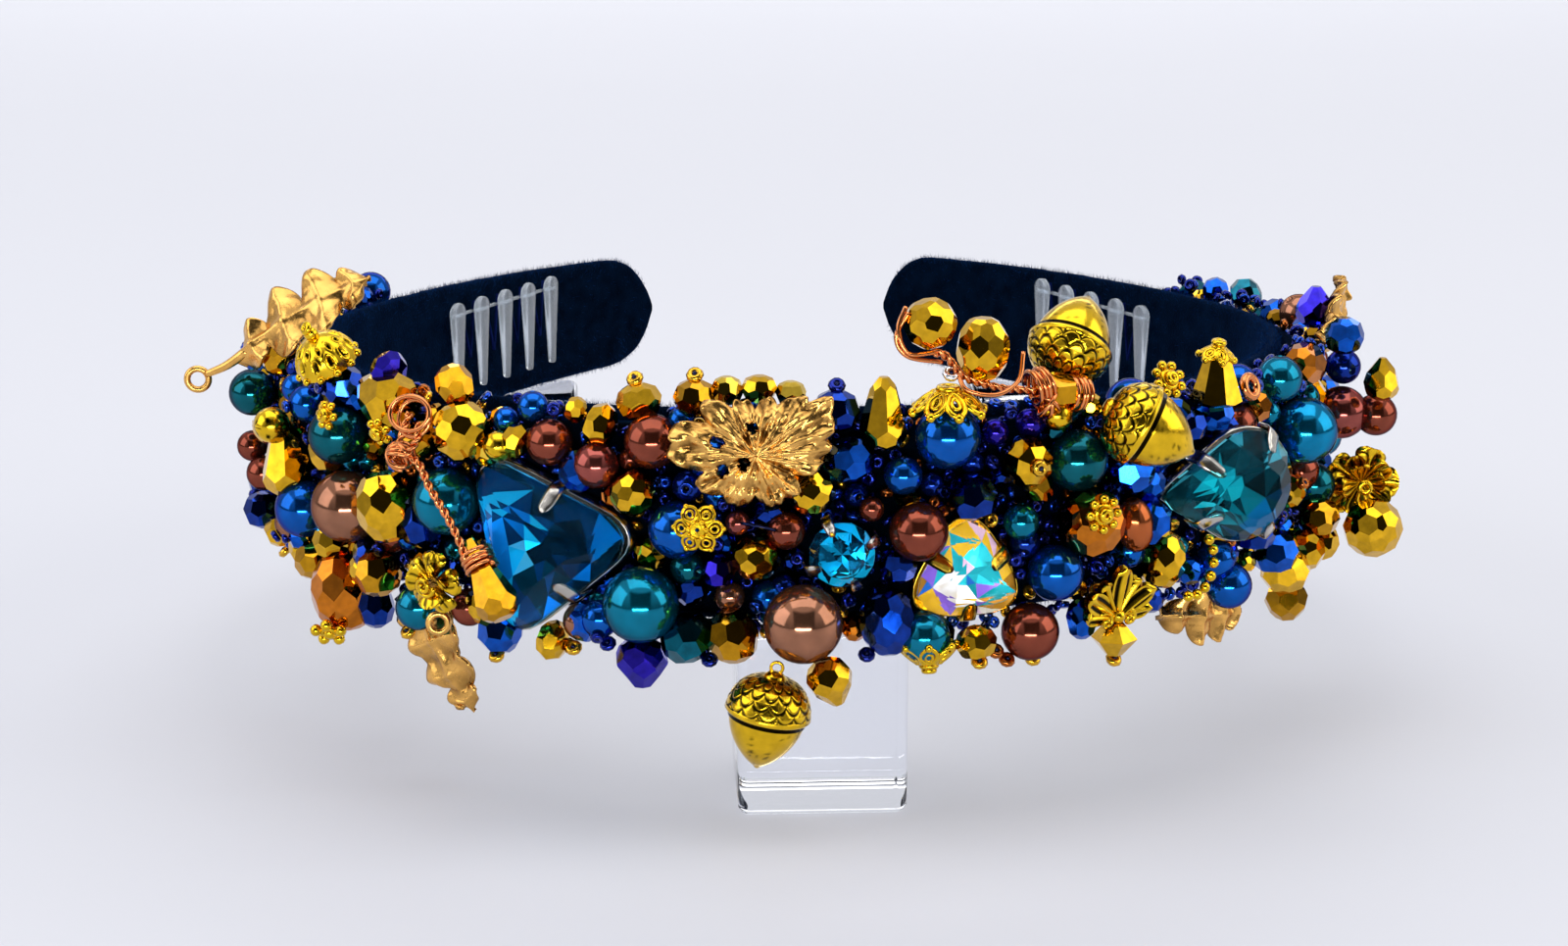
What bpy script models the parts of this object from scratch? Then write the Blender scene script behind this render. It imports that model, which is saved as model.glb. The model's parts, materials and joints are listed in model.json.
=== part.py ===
"""A beaded tiara resting on clear block stands.

Lengths below are millimetres, and the model is built in metres with +Z up.
The loop of the band lies level and opens at the back, towards +Y.
Its front faces -Y, and the front stand block's underside is centred on the origin.

A place on the band is given by its station, the distance along the band from the middle of
the front (left is negative), its height above the band's lower edge, and its stand-off,
the distance outwards from the middle of the band's thickness.
"""
import math
from collections import namedtuple

import bmesh
import bpy
from mathutils import Matrix, Vector
from mathutils.bvhtree import BVHTree

MM = 0.001
GAP = 0.3

# Stand blocks
BLOCK_WIDTH = 22.0
BLOCK_HEIGHT = 25.4
BLOCK_ROUND = 1.6
REAR_BLOCK_STATION = 178.0

# Band: its plan is a chain of arcs from the middle of the front to the tip
BandArc = namedtuple("BandArc", "radius degrees")
BAND_ARCS = (
    BandArc(70.0, 88.0),
    BandArc(52.0, 20.0),
    BandArc(175.0, 28.5),
)
BAND_LOWER_EDGE = BLOCK_HEIGHT + GAP
BAND_HEIGHT_FRONT = 28.0
BAND_HEIGHT_TIP = 18.0
BAND_TAPER_POWER = 1.3
BAND_THICKNESS = 3.6
BAND_ROUND = 1.1
BAND_BEHIND_BLOCK_FACE = 3.5
SECTION_STEP = 10.0

# Beaded ground
GROUND_INNER = BAND_THICKNESS / 2 + GAP
GROUND_OUTER = GROUND_INNER + 1.5
GROUND_END = 150.0
GROUND_MARGIN = 1.5
SMALL_BEAD_BITE = 0.8
SMALL_BEAD_EDGE_BITE = 0.6
SMALL_BEAD_SIDES = 10
SMALL_BEAD_RINGS = 4
SMALL_BEAD_LEAST = 1.2

# Combs
COMB_STATIONS = {"comb_left": -172.0, "comb_right": 160.0}
COMB_LENGTH = 33.0
COMB_TEETH = 5
COMB_DROP = 15.0
COMB_SPINE = 3.0
COMB_THICKNESS = 1.2
COMB_TOOTH_TIP = 1.2
COMB_TOP_MARGIN = 1.5
COMB_STAND_IN = 1.1

# Stones and settings, with a stone's levels as shares of its depth and radius
GIRDLE_LEVEL = 0.30
CROWN_RISE = 0.42
CROWN_INSET = 0.20
SETTING_FLOOR = 0.7
SETTING_WALL = 0.7
STONE_PLAY = 0.45
TRILLIANT_SIDE = 0.64
PEAR_BULB = 0.72
PEAR_SHIFT = 0.28
PRONG_WIDTH = 1.5
PRONG_THICK = 0.6
PRONG_REACH = 1.3

# Wire
SPRAY_WIRE = 1.3

COLOURS = {
    "velvet": (0.004, 0.012, 0.040),
    "clear": (0.85, 0.90, 0.95),
    "gold": (0.70, 0.42, 0.05),
    "brass": (0.72, 0.46, 0.20),
    "antique": (0.62, 0.40, 0.06),
    "silver": (0.66, 0.64, 0.60),
    "copper": (0.66, 0.30, 0.14),
    "amber": (0.55, 0.22, 0.03),
    "blue": (0.01, 0.07, 0.34),
    "deep_blue": (0.01, 0.03, 0.22),
    "teal": (0.01, 0.16, 0.24),
    "green": (0.00, 0.09, 0.10),
    "bronze": (0.34, 0.14, 0.06),
    "brown": (0.20, 0.05, 0.03),
    "crystal": (0.55, 0.65, 0.70),
}
METALS = ("gold", "brass", "antique", "silver", "copper", "amber")


# Scene

def clear_scene():
    for old in list(bpy.data.objects):
        bpy.data.objects.remove(old, do_unlink=True)


def make_collection(name):
    made = bpy.data.collections.new(name)
    bpy.context.scene.collection.children.link(made)
    return made


def make_material(name, colour, roughness, metallic):
    material = bpy.data.materials.new(name)
    material.use_nodes = True
    shader = material.node_tree.nodes["Principled BSDF"]
    shader.inputs["Base Color"].default_value = (*COLOURS[colour], 1.0)
    shader.inputs["Roughness"].default_value = roughness
    shader.inputs["Metallic"].default_value = metallic
    material.diffuse_color = (*COLOURS[colour], 1.0)
    return material


def finish_for(name, colour):
    metallic = 1.0 if colour in METALS else 0.0
    roughness = 0.9 if colour == "velvet" else 0.25
    return make_material(name + "_finish", colour, roughness, metallic)


def add_part(name, solid, colour, place=None):
    """Put a bmesh made in millimetres into the parts collection as an object in metres."""
    solid.transform(Matrix.Scale(MM, 4))
    bmesh.ops.recalc_face_normals(solid, faces=solid.faces)
    mesh = bpy.data.meshes.new(name)
    solid.to_mesh(mesh)
    solid.free()
    mesh.materials.append(finish_for(name, colour))
    part = bpy.data.objects.new(name, mesh)
    PARTS.objects.link(part)
    if place is not None:
        part.matrix_world = place
    return part


def in_metres(place):
    moved = place.copy()
    moved.translation = place.translation * MM
    return moved


# Places on the band

def band_length():
    return sum(arc.radius * math.radians(arc.degrees) for arc in BAND_ARCS)


HALF_LENGTH = band_length()
BAND_FRONT_Y = -(BLOCK_WIDTH / 2 - BAND_BEHIND_BLOCK_FACE)


def band_plan(station):
    """Plan point and heading of the band's middle line at a station."""
    x, y, heading = 0.0, BAND_FRONT_Y, 0.0
    rest = abs(station)
    for arc in BAND_ARCS:
        last = arc is BAND_ARCS[-1]
        run = rest if last else min(rest, arc.radius * math.radians(arc.degrees))
        turned = heading + run / arc.radius
        x += arc.radius * (math.sin(turned) - math.sin(heading))
        y += arc.radius * (math.cos(heading) - math.cos(turned))
        heading = turned
        rest -= run
    if station < 0:
        return -x, y, -heading
    return x, y, heading


def band_height(station):
    share = min(1.0, abs(station) / HALF_LENGTH)
    return BAND_HEIGHT_FRONT - (BAND_HEIGHT_FRONT - BAND_HEIGHT_TIP) * share ** BAND_TAPER_POWER


def on_band(station, height, stand_off):
    """A point in millimetres, from its station, height and stand-off."""
    x, y, heading = band_plan(station)
    return Vector((x + math.sin(heading) * stand_off,
                   y - math.cos(heading) * stand_off,
                   BAND_LOWER_EDGE + height))


def seat(station, height, stand_off, turn=0.0, lean=0.0, swing=0.0):
    """Place whose local X runs along the band, Y up and Z outwards.

    swing turns it about the upright, lean tips its top back, and turn spins it about its
    own outward axis, all in degrees.
    """
    heading = band_plan(station)[2]
    along = Vector((math.cos(heading), math.sin(heading), 0.0))
    outward = Vector((math.sin(heading), -math.cos(heading), 0.0))
    frame = Matrix((along, Vector((0, 0, 1)), outward)).transposed().to_4x4()
    spin = (Matrix.Rotation(math.radians(swing), 4, "Y")
            @ Matrix.Rotation(math.radians(-lean), 4, "X")
            @ Matrix.Rotation(math.radians(turn), 4, "Z"))
    return Matrix.Translation(on_band(station, height, stand_off)) @ frame @ spin


# Solids, each a bmesh in millimetres

def loft(rings):
    """Join rings that have the same number of points, and cap both ends."""
    solid = bmesh.new()
    made = [[solid.verts.new(point) for point in ring] for ring in rings]
    for low, high in zip(made, made[1:]):
        for i in range(len(low)):
            j = (i + 1) % len(low)
            solid.faces.new((low[i], low[j], high[j], high[i]))
    solid.faces.new(list(reversed(made[0])))
    solid.faces.new(made[-1])
    return solid


def ball(diameter, sides=12, rings=6):
    solid = bmesh.new()
    bmesh.ops.create_uvsphere(solid, u_segments=sides, v_segments=rings, radius=diameter / 2)
    return solid


def hull(points):
    solid = bmesh.new()
    for point in points:
        solid.verts.new(point)
    bmesh.ops.convex_hull(solid, input=solid.verts)
    inner = [v for v in solid.verts if not v.link_faces]
    bmesh.ops.delete(solid, geom=inner, context="VERTS")
    return solid


def ring_of(radius, height, sides, shift=0.0, outline=None):
    """Points round the Z axis. outline scales the radius by the angle."""
    points = []
    for i in range(sides):
        angle = 2 * math.pi * (i + shift) / sides
        reach = radius * (outline(angle) if outline else 1.0)
        points.append(Vector((reach * math.cos(angle), reach * math.sin(angle), height)))
    return points


CutRing = namedtuple("CutRing", "reach level shift")
CUTS = {
    "round": (CutRing(0.24, 0.50, 0.0), CutRing(0.43, 0.28, 0.5), CutRing(0.50, 0.0, 0.0),
              CutRing(0.43, -0.28, 0.5), CutRing(0.24, -0.50, 0.0)),
    "drop": (CutRing(0.10, 0.50, 0.0), CutRing(0.27, 0.24, 0.5), CutRing(0.46, -0.08, 0.0),
             CutRing(0.44, -0.32, 0.5), CutRing(0.22, -0.50, 0.0)),
}
CUT_SIDES = 8


def cut_bead(cut, width, length):
    """A faceted bead whose hole runs along Z."""
    points = []
    for ring in CUTS[cut]:
        points += ring_of(ring.reach * width, ring.level * length, CUT_SIDES, ring.shift)
    return hull(points)


def trilliant_outline(angle):
    """Radius of a rounded triangle of radius one, with a corner on the X axis."""
    third = 2 * math.pi / 3
    from_side = angle % third - third / 2
    return ((math.cos(from_side) / TRILLIANT_SIDE) ** 8 + 1.0) ** -0.125


def pear_outline(angle):
    """Radius of a pear shape: a round end towards +X, and straight sides to a point at -X."""
    away = abs((angle + math.pi) % (2 * math.pi) - math.pi)
    half_point = math.asin(PEAR_BULB / (1 + PEAR_SHIFT))
    normal = math.pi / 2 + half_point
    touch = math.atan2(PEAR_BULB * math.sin(normal), PEAR_SHIFT + PEAR_BULB * math.cos(normal))
    if away > touch:
        return math.sin(half_point) / math.cos(away - normal)
    across = PEAR_SHIFT * math.sin(away)
    return PEAR_SHIFT * math.cos(away) + math.sqrt(PEAR_BULB ** 2 - across ** 2)


def round_outline(angle):
    return 1.0


def cut_stone(radius, depth, sides, outline):
    """A flat-backed stone with a crown of facets and a table."""
    points = ring_of(radius * 0.88, 0.0, sides, 0.0, outline)
    points += ring_of(radius, depth * GIRDLE_LEVEL, sides, 0.0, outline)
    points += ring_of(radius * (1 - CROWN_INSET), depth * (GIRDLE_LEVEL + CROWN_RISE), sides,
                      0.5, outline)
    points += ring_of(radius * 0.52, depth, sides, 0.0, outline)
    return hull(points)


def setting_cup(radius, wall_height, floor, wall, sides, outline):
    """A metal cup with a floor at Z zero and a low wall round the stone."""
    inner = radius + STONE_PLAY
    rings = (
        ring_of(inner + wall, 0.0, sides, 0.0, outline),
        ring_of(inner + wall, wall_height, sides, 0.0, outline),
        ring_of(inner, wall_height, sides, 0.0, outline),
        ring_of(inner, floor, sides, 0.0, outline),
    )
    return loft(rings)


def prong(wall_reach, wall_top, slope):
    """A bent claw in the XZ plane, from the cup's wall up along the stone's crown."""
    half = PRONG_WIDTH / 2
    root = wall_reach + SETTING_WALL / 4
    back = wall_reach + SETTING_WALL + PRONG_THICK / 2
    tip = wall_reach - PRONG_REACH
    under = wall_top + PRONG_REACH * slope + 2 * GAP
    outline = ((root, SETTING_FLOOR), (back, SETTING_FLOOR), (back, wall_top + 0.5),
               (tip, under + PRONG_THICK), (tip, under), (root, wall_top + 0.4))
    return loft([[Vector((x, side, z)) for x, z in outline] for side in (-half, half)])


def turned(profile, sides):
    """A mesh object turned from a profile of (radius, height) points, top to bottom."""
    mesh = bpy.data.meshes.new("profile")
    points = [(radius * MM, 0.0, height * MM) for radius, height in profile]
    mesh.from_pydata(points, [(i, i + 1) for i in range(len(points) - 1)], [])
    guide = bpy.data.objects.new("profile", mesh)
    GUIDES.objects.link(guide)
    screw = guide.modifiers.new("turn", "SCREW")
    screw.axis = "Z"
    screw.steps = sides
    screw.render_steps = sides
    screw.use_merge_vertices = True
    screw.merge_threshold = 0.00001
    return take_mesh(guide)


def take_mesh(guide):
    """Read a guide object as a welded bmesh in millimetres, and remove the guide."""
    bpy.context.view_layer.update()
    evaluated = guide.evaluated_get(bpy.context.evaluated_depsgraph_get())
    mesh = bpy.data.meshes.new_from_object(evaluated)
    solid = bmesh.new()
    solid.from_mesh(mesh)
    solid.transform(guide.matrix_world)
    bmesh.ops.remove_doubles(solid, verts=solid.verts, dist=0.000005)
    solid.transform(Matrix.Scale(1 / MM, 4))
    bmesh.ops.recalc_face_normals(solid, faces=solid.faces)
    bpy.data.objects.remove(guide, do_unlink=True)
    bpy.data.meshes.remove(mesh)
    return solid


def wire(points, diameter):
    """A round wire with filled ends along points in millimetres."""
    curve = bpy.data.curves.new("wire", "CURVE")
    curve.dimensions = "3D"
    curve.bevel_depth = diameter / 2 * MM
    curve.bevel_resolution = 1
    curve.use_fill_caps = True
    spline = curve.splines.new("POLY")
    spline.points.add(len(points) - 1)
    for spot, point in zip(spline.points, points):
        spot.co = (*(Vector(point) * MM), 1.0)
    guide = bpy.data.objects.new("wire", curve)
    GUIDES.objects.link(guide)
    return take_mesh(guide)


def union(solids):
    """Join overlapping closed solids into one with Boolean unions."""
    base = solids[0]
    for extra in solids[1:]:
        base = boolean(base, extra, "UNION")
    return base


def boolean(base, other, operation):
    holders = []
    for label, solid in (("base", base), ("other", other)):
        solid.transform(Matrix.Scale(MM, 4))
        bmesh.ops.recalc_face_normals(solid, faces=solid.faces)
        mesh = bpy.data.meshes.new(label)
        solid.to_mesh(mesh)
        solid.free()
        holder = bpy.data.objects.new(label, mesh)
        GUIDES.objects.link(holder)
        holders.append(holder)
    cut = holders[0].modifiers.new("join", "BOOLEAN")
    cut.operation = operation
    cut.solver = "EXACT"
    cut.object = holders[1]
    result = take_mesh(holders[0])
    bpy.data.objects.remove(holders[1], do_unlink=True)
    return result


def moved(solid, place):
    solid.transform(place)
    return solid


# Band, combs and blocks

def band_section(station, tip_distance):
    """Eight points round the band's section, drawn in near a tip to round its end."""
    height = band_height(station)
    half = height / 2
    if tip_distance < half:
        half = math.sqrt(max(0.0, half ** 2 - (half - tip_distance) ** 2))
    half = max(half, BAND_ROUND * 1.3)
    thick = BAND_THICKNESS / 2
    corners = ((thick, half - BAND_ROUND), (thick - BAND_ROUND, half),
               (BAND_ROUND - thick, half), (-thick, half - BAND_ROUND),
               (-thick, BAND_ROUND - half), (BAND_ROUND - thick, -half),
               (thick - BAND_ROUND, -half), (thick, BAND_ROUND - half))
    return [on_band(station, height / 2 + rise, off) for off, rise in corners]


def band_stations(first, last, step):
    count = max(1, round((last - first) / step))
    return [first + (last - first) * i / count for i in range(count + 1)]


def add_band():
    tip_steps = (0.0, 0.8, 2.4, 5.2, 9.0)
    inner = HALF_LENGTH - tip_steps[-1]
    places = [(-HALF_LENGTH + t, t) for t in tip_steps]
    places += [(s, HALF_LENGTH) for s in band_stations(-inner, inner, SECTION_STEP)[1:-1]]
    places += [(HALF_LENGTH - t, t) for t in reversed(tip_steps)]
    return add_part("velvet_band", loft([band_section(s, t) for s, t in places]), "velvet")


def add_comb(name, station):
    """A toothed comb, cut from a flat outline, on the inner face near a tip."""
    pitch = COMB_LENGTH / COMB_TEETH
    half = COMB_LENGTH / 2
    outline = [(half, 0.0), (-half, 0.0)]
    for tooth in range(COMB_TEETH):
        left = -half + tooth * pitch
        outline += [(left + 0.12 * pitch, -COMB_SPINE),
                    (left + 0.5 * pitch - COMB_TOOTH_TIP / 2, -COMB_DROP),
                    (left + 0.5 * pitch + COMB_TOOTH_TIP / 2, -COMB_DROP),
                    (left + 0.88 * pitch, -COMB_SPINE)]
    curve = bpy.data.curves.new(name, "CURVE")
    curve.dimensions = "2D"
    curve.fill_mode = "BOTH"
    curve.extrude = COMB_THICKNESS / 2 * MM
    spline = curve.splines.new("POLY")
    spline.use_cyclic_u = True
    spline.points.add(len(outline) - 1)
    for spot, (x, y) in zip(spline.points, outline):
        spot.co = (x * MM, y * MM, 0.0, 1.0)
    guide = bpy.data.objects.new(name, curve)
    GUIDES.objects.link(guide)
    solid = take_mesh(guide)
    top = band_height(station) - COMB_TOP_MARGIN
    inward = -(BAND_THICKNESS / 2 + COMB_STAND_IN + COMB_THICKNESS / 2)
    return add_part(name, solid, "clear", in_metres(seat(station, top, inward)))


def add_block(name, x, y):
    bpy.ops.mesh.primitive_cube_add(size=1.0)
    block = bpy.context.active_object
    block.name = name
    block.data.name = name
    for held in list(block.users_collection):
        held.objects.unlink(block)
    PARTS.objects.link(block)
    block.data.transform(Matrix.Diagonal((BLOCK_WIDTH * MM, BLOCK_WIDTH * MM,
                                          BLOCK_HEIGHT * MM, 1.0)))
    block.location = Vector((x, y, BLOCK_HEIGHT / 2)) * MM
    bevel = block.modifiers.new("rounded edges", "BEVEL")
    bevel.width = BLOCK_ROUND * MM
    bevel.segments = 2
    block.data.materials.append(finish_for(name, "clear"))
    return block


def add_blocks():
    add_block("stand_block_front", 0.0, 0.0)
    for name, side in (("stand_block_left", -1), ("stand_block_right", 1)):
        x, y, _ = band_plan(side * REAR_BLOCK_STATION)
        add_block(name, x, y)


# Main beads

Pearl = namedtuple("Pearl", "name colour station height lift size")
PEARLS = (
    Pearl("pearl_teal_low", "teal", -20.8, 4.0, 0.6, 10.0),
    Pearl("pearl_bronze_low", "bronze", -2.6, 2.6, 2.0, 10.0),
    Pearl("pearl_bronze_mid", "bronze", 10.4, 13.6, 1.0, 7.6),
    Pearl("pearl_blue_top", "blue", 13.7, 25.6, 0.3, 8.4),
    Pearl("pearl_blue_mid", "blue", -16.9, 13.6, 0.0, 7.6),
    Pearl("pearl_brown_top", "brown", -19.8, 24.8, 0.0, 7.2),
    Pearl("pearl_brown_small", "brown", -32.6, 23.4, 0.0, 6.0),
    Pearl("pearl_bronze_left", "bronze", -63.6, 10.0, 0.0, 9.8),
    Pearl("pearl_blue_left", "blue", -76.5, 6.4, 0.0, 8.0),
    Pearl("pearl_teal_left", "teal", -46.4, 14.0, 0.0, 8.8),
    Pearl("pearl_green_left", "green", -65.5, 19.4, 0.6, 8.0),
    Pearl("pearl_blue_right", "blue", 27.6, 6.2, 0.0, 7.4),
    Pearl("pearl_green_right", "green", 30.0, 20.8, 0.0, 8.0),
    Pearl("pearl_brown_low", "brown", 24.4, -1.2, 0.0, 7.6),
    Pearl("pearl_sky_right", "teal", 72.6, 16.8, 0.5, 9.2),
    Pearl("pearl_mauve_far", "bronze", 86.0, 16.2, 3.0, 7.6),
)

CutBead = namedtuple("CutBead", "name colour cut station height lift width length turn")
CUT_BEADS = (
    CutBead("bead_blue_big", "blue", "round", 7.0, 1.8, 0.6, 7.0, 9.0, 8.0),
    CutBead("bead_gold_left_top", "gold", "round", -43.5, 23.8, 1.0, 7.4, 8.0, 20.0),
    CutBead("bead_gold_teardrop", "gold", "drop", -57.0, 26.4, 0.4, 7.2, 10.0, 75.0),
    CutBead("bead_gold_oval_left", "gold", "round", -55.0, 12.0, 1.8, 7.8, 10.0, 15.0),
    CutBead("bead_amber_left", "amber", "round", -68.4, -3.4, -1.6, 8.6, 11.4, 10.0),
    CutBead("bead_gold_tear_top", "gold", "drop", 6.6, 28.6, 0.0, 5.6, 9.8, 0.0),
    CutBead("bead_gold_front_left", "gold", "round", -21.8, 18.2, 1.6, 5.8, 5.8, 30.0),
    CutBead("bead_gold_front_top", "gold", "round", -1.7, 18.9, 0.4, 6.0, 6.0, 10.0),
    CutBead("bead_gold_front_mid", "gold", "round", -7.9, 10.2, 0.0, 6.0, 6.0, 0.0),
    CutBead("bead_amber_right", "amber", "round", 31.2, 12.8, 1.0, 9.0, 8.4, 80.0),
    CutBead("bead_gold_right", "gold", "round", 43.6, 5.2, 0.2, 6.2, 7.8, -10.0),
    CutBead("bead_gold_far", "gold", "round", 80.4, 1.6, 9.0, 8.0, 8.4, 70.0),
)


def add_pearls():
    for pearl in PEARLS:
        stand_off = GROUND_OUTER + GAP + pearl.size / 2 + pearl.lift
        place = seat(pearl.station, pearl.height, stand_off)
        part = add_part(pearl.name, ball(pearl.size), pearl.colour, in_metres(place))
        part.data.shade_smooth()


def add_cut_beads():
    upright = Matrix.Rotation(math.radians(-90.0), 4, "X")
    for bead in CUT_BEADS:
        stand_off = GROUND_OUTER + GAP + bead.width / 2 + bead.lift
        place = seat(bead.station, bead.height, stand_off, bead.turn) @ upright
        add_part(bead.name, cut_bead(bead.cut, bead.width, bead.length), bead.colour,
                 in_metres(place))


# Set stones

SetStone = namedtuple("SetStone", "name colour metal outline sides radius depth station height "
                                  "lift turn swing prongs")
SET_STONES = (
    SetStone("trilliant", "teal", "silver", trilliant_outline, 18, 12.2, 6.4,
             -33.9, 10.0, 0.7, 10.0, 0.0, (60.0, 180.0, 300.0)),
    SetStone("crystal", "crystal", "antique", trilliant_outline, 12, 7.2, 4.6,
             17.0, 6.8, 0.4, 90.0, -6.0, (60.0, 180.0, 300.0)),
    SetStone("pear", "teal", "silver", pear_outline, 16, 10.3, 5.4,
             53.0, 13.6, 3.4, 0.0, -18.0, (45.0, 135.0, 225.0, 315.0)),
    SetStone("chaton", "teal", "silver", round_outline, 12, 4.1, 3.8,
             1.8, 10.8, 2.4, 0.0, 0.0, (24.0, 114.0, 204.0, 294.0)),
)


def add_set_stones():
    for stone in SET_STONES:
        place = seat(stone.station, stone.height, GROUND_OUTER + GAP + stone.lift,
                     stone.turn, 0.0, stone.swing)
        wall = SETTING_FLOOR + GAP + stone.depth * GIRDLE_LEVEL
        cup = setting_cup(stone.radius, wall, SETTING_FLOOR, SETTING_WALL, stone.sides,
                          stone.outline)
        claws = []
        for degrees in stone.prongs:
            angle = math.radians(degrees)
            share = stone.outline(angle)
            slope = CROWN_RISE * stone.depth / (CROWN_INSET * stone.radius * share)
            claw = prong((stone.radius + STONE_PLAY) * share, wall, slope)
            claws.append(moved(claw, Matrix.Rotation(angle, 4, "Z")))
        add_part(stone.name + "_setting", union([cup] + claws), stone.metal, in_metres(place))
        gem = moved(cut_stone(stone.radius, stone.depth, stone.sides, stone.outline),
                    Matrix.Translation((0.0, 0.0, SETTING_FLOOR + GAP)))
        add_part(stone.name + "_stone", gem, stone.colour, in_metres(place))


# Leaves

LeafRow = namedtuple("LeafRow", "along half_width")
OAK_ROWS = (
    LeafRow(0.00, 0.04), LeafRow(0.12, 0.06), LeafRow(0.17, 0.26), LeafRow(0.25, 0.28),
    LeafRow(0.31, 0.14), LeafRow(0.38, 0.40), LeafRow(0.48, 0.46), LeafRow(0.54, 0.20),
    LeafRow(0.61, 0.46), LeafRow(0.71, 0.48), LeafRow(0.77, 0.22), LeafRow(0.85, 0.34),
    LeafRow(0.95, 0.24), LeafRow(1.00, 0.05),
)
LEAF_THICKNESS = 0.7
LEAF_RIDGE = 0.5
STEM_RING = (-92.9, 21.4, 17.4)
STEM_RING_REACH = 1.5
STEM_WIRE = 1.2

OakLeaf = namedtuple("OakLeaf", "length width curl")
OAK_LEAVES = {
    "leaf_upper_left": OakLeaf(25.0, 11.0, 2.0),
    "leaf_lower_left": OakLeaf(20.2, 9.4, 1.2),
    "leaf_lower_right": OakLeaf(18.0, 8.0, 1.2),
    "leaf_upper_right": OakLeaf(15.0, 7.0, 0.8),
}


def oak_leaf(leaf):
    """A lobed leaf along +Y from its root at the origin, with a raised midrib."""
    sections = []
    for row in OAK_ROWS:
        y = row.along * leaf.length
        half = row.half_width * leaf.width
        bow = -leaf.curl * (2 * row.along - 1) ** 2
        sections.append([Vector((-half, y, bow - LEAF_RIDGE)),
                         Vector((-half, y, bow - LEAF_RIDGE - LEAF_THICKNESS)),
                         Vector((0.0, y, bow - LEAF_THICKNESS)),
                         Vector((half, y, bow - LEAF_RIDGE - LEAF_THICKNESS)),
                         Vector((half, y, bow - LEAF_RIDGE)),
                         Vector((0.0, y, bow))])
    return loft(sections)


MapleLobe = namedtuple("MapleLobe", "degrees reach notch")
MAPLE_LOBES = (
    MapleLobe(4.0, 10.4, 9.4), MapleLobe(29.0, 12.0, 7.0), MapleLobe(58.0, 7.4, 5.6),
    MapleLobe(98.0, 6.6, 5.6), MapleLobe(132.0, 8.4, 7.4), MapleLobe(157.0, 10.4, 9.0),
    MapleLobe(180.0, 11.2, 7.6), MapleLobe(212.0, 8.4, 5.2), MapleLobe(250.0, 6.8, 5.4),
    MapleLobe(287.0, 7.4, 5.6), MapleLobe(325.0, 8.6, 7.2),
)
MAPLE_SHOULDER = 9.0
MAPLE_HOLES = ((-4.6, 2.2), (0.4, 3.4), (5.2, -2.6), (-3.4, -2.4))
MAPLE_HOLE = 1.3


def maple_leaf():
    """A broad lobed leaf with ridged veins, its middle at the origin and its face +Z."""
    rims = []
    for lobe, after in zip(MAPLE_LOBES, MAPLE_LOBES[1:] + MAPLE_LOBES[:1]):
        span = (after.degrees - lobe.degrees) % 360
        rims.append((lobe.degrees - MAPLE_SHOULDER, lobe.reach * 0.94, -0.2))
        rims.append((lobe.degrees, lobe.reach, 0.0))
        rims.append((lobe.degrees + MAPLE_SHOULDER, lobe.reach * 0.94, -0.2))
        rims.append((lobe.degrees + span / 2, lobe.notch, -0.8))
    rings = []
    for share, lift in ((1.0, 0.0), (0.5, 0.5)):
        rings.append([(math.radians(degrees), reach * share, dip * share + lift)
                      for degrees, reach, dip in rims])
    solid = bmesh.new()
    faces = []
    for under in (0.0, LEAF_THICKNESS):
        sheet = [[solid.verts.new((r * math.cos(a), r * math.sin(a), z - under))
                  for a, r, z in ring] for ring in rings]
        middle = solid.verts.new((0.0, 0.0, 0.9 - under))
        faces.append((sheet, middle))
        for i in range(len(rims)):
            j = (i + 1) % len(rims)
            solid.faces.new((sheet[0][i], sheet[0][j], sheet[1][j], sheet[1][i]))
            solid.faces.new((sheet[1][i], sheet[1][j], middle))
    top, bottom = faces[0][0][0], faces[1][0][0]
    for i in range(len(rims)):
        j = (i + 1) % len(rims)
        solid.faces.new((top[i], top[j], bottom[j], bottom[i]))
    bmesh.ops.recalc_face_normals(solid, faces=solid.faces)
    for x, y in MAPLE_HOLES:
        drill = loft([ring_of(MAPLE_HOLE / 2, z, 5) for z in (-4.0, 4.0)])
        solid = boolean(solid, moved(drill, Matrix.Translation((x, y, 0.0))), "DIFFERENCE")
    return solid


def stem_and_ring(place):
    """The long stem of a leaf at a place, and the ring that it ends in, facing the front."""
    centre = place.inverted() @ on_band(*STEM_RING)
    towards = centre.normalized()
    stem = wire([Vector((0.0, 1.2, -LEAF_RIDGE - 1.5)), Vector((0.0, 0.0, -LEAF_RIDGE - 1.5)),
                 centre - towards * STEM_RING_REACH], STEM_WIRE)
    bpy.ops.mesh.primitive_torus_add(major_segments=12, minor_segments=6,
                                     major_radius=STEM_RING_REACH, minor_radius=STEM_WIRE / 2)
    guide = bpy.context.active_object
    ring = bmesh.new()
    ring.from_mesh(guide.data)
    bpy.data.objects.remove(guide, do_unlink=True)
    facing = (place.to_3x3().inverted() @ Matrix.Rotation(math.radians(90.0), 3, "X")).to_4x4()
    return [stem, moved(ring, Matrix.Translation(centre) @ facing)]


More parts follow.
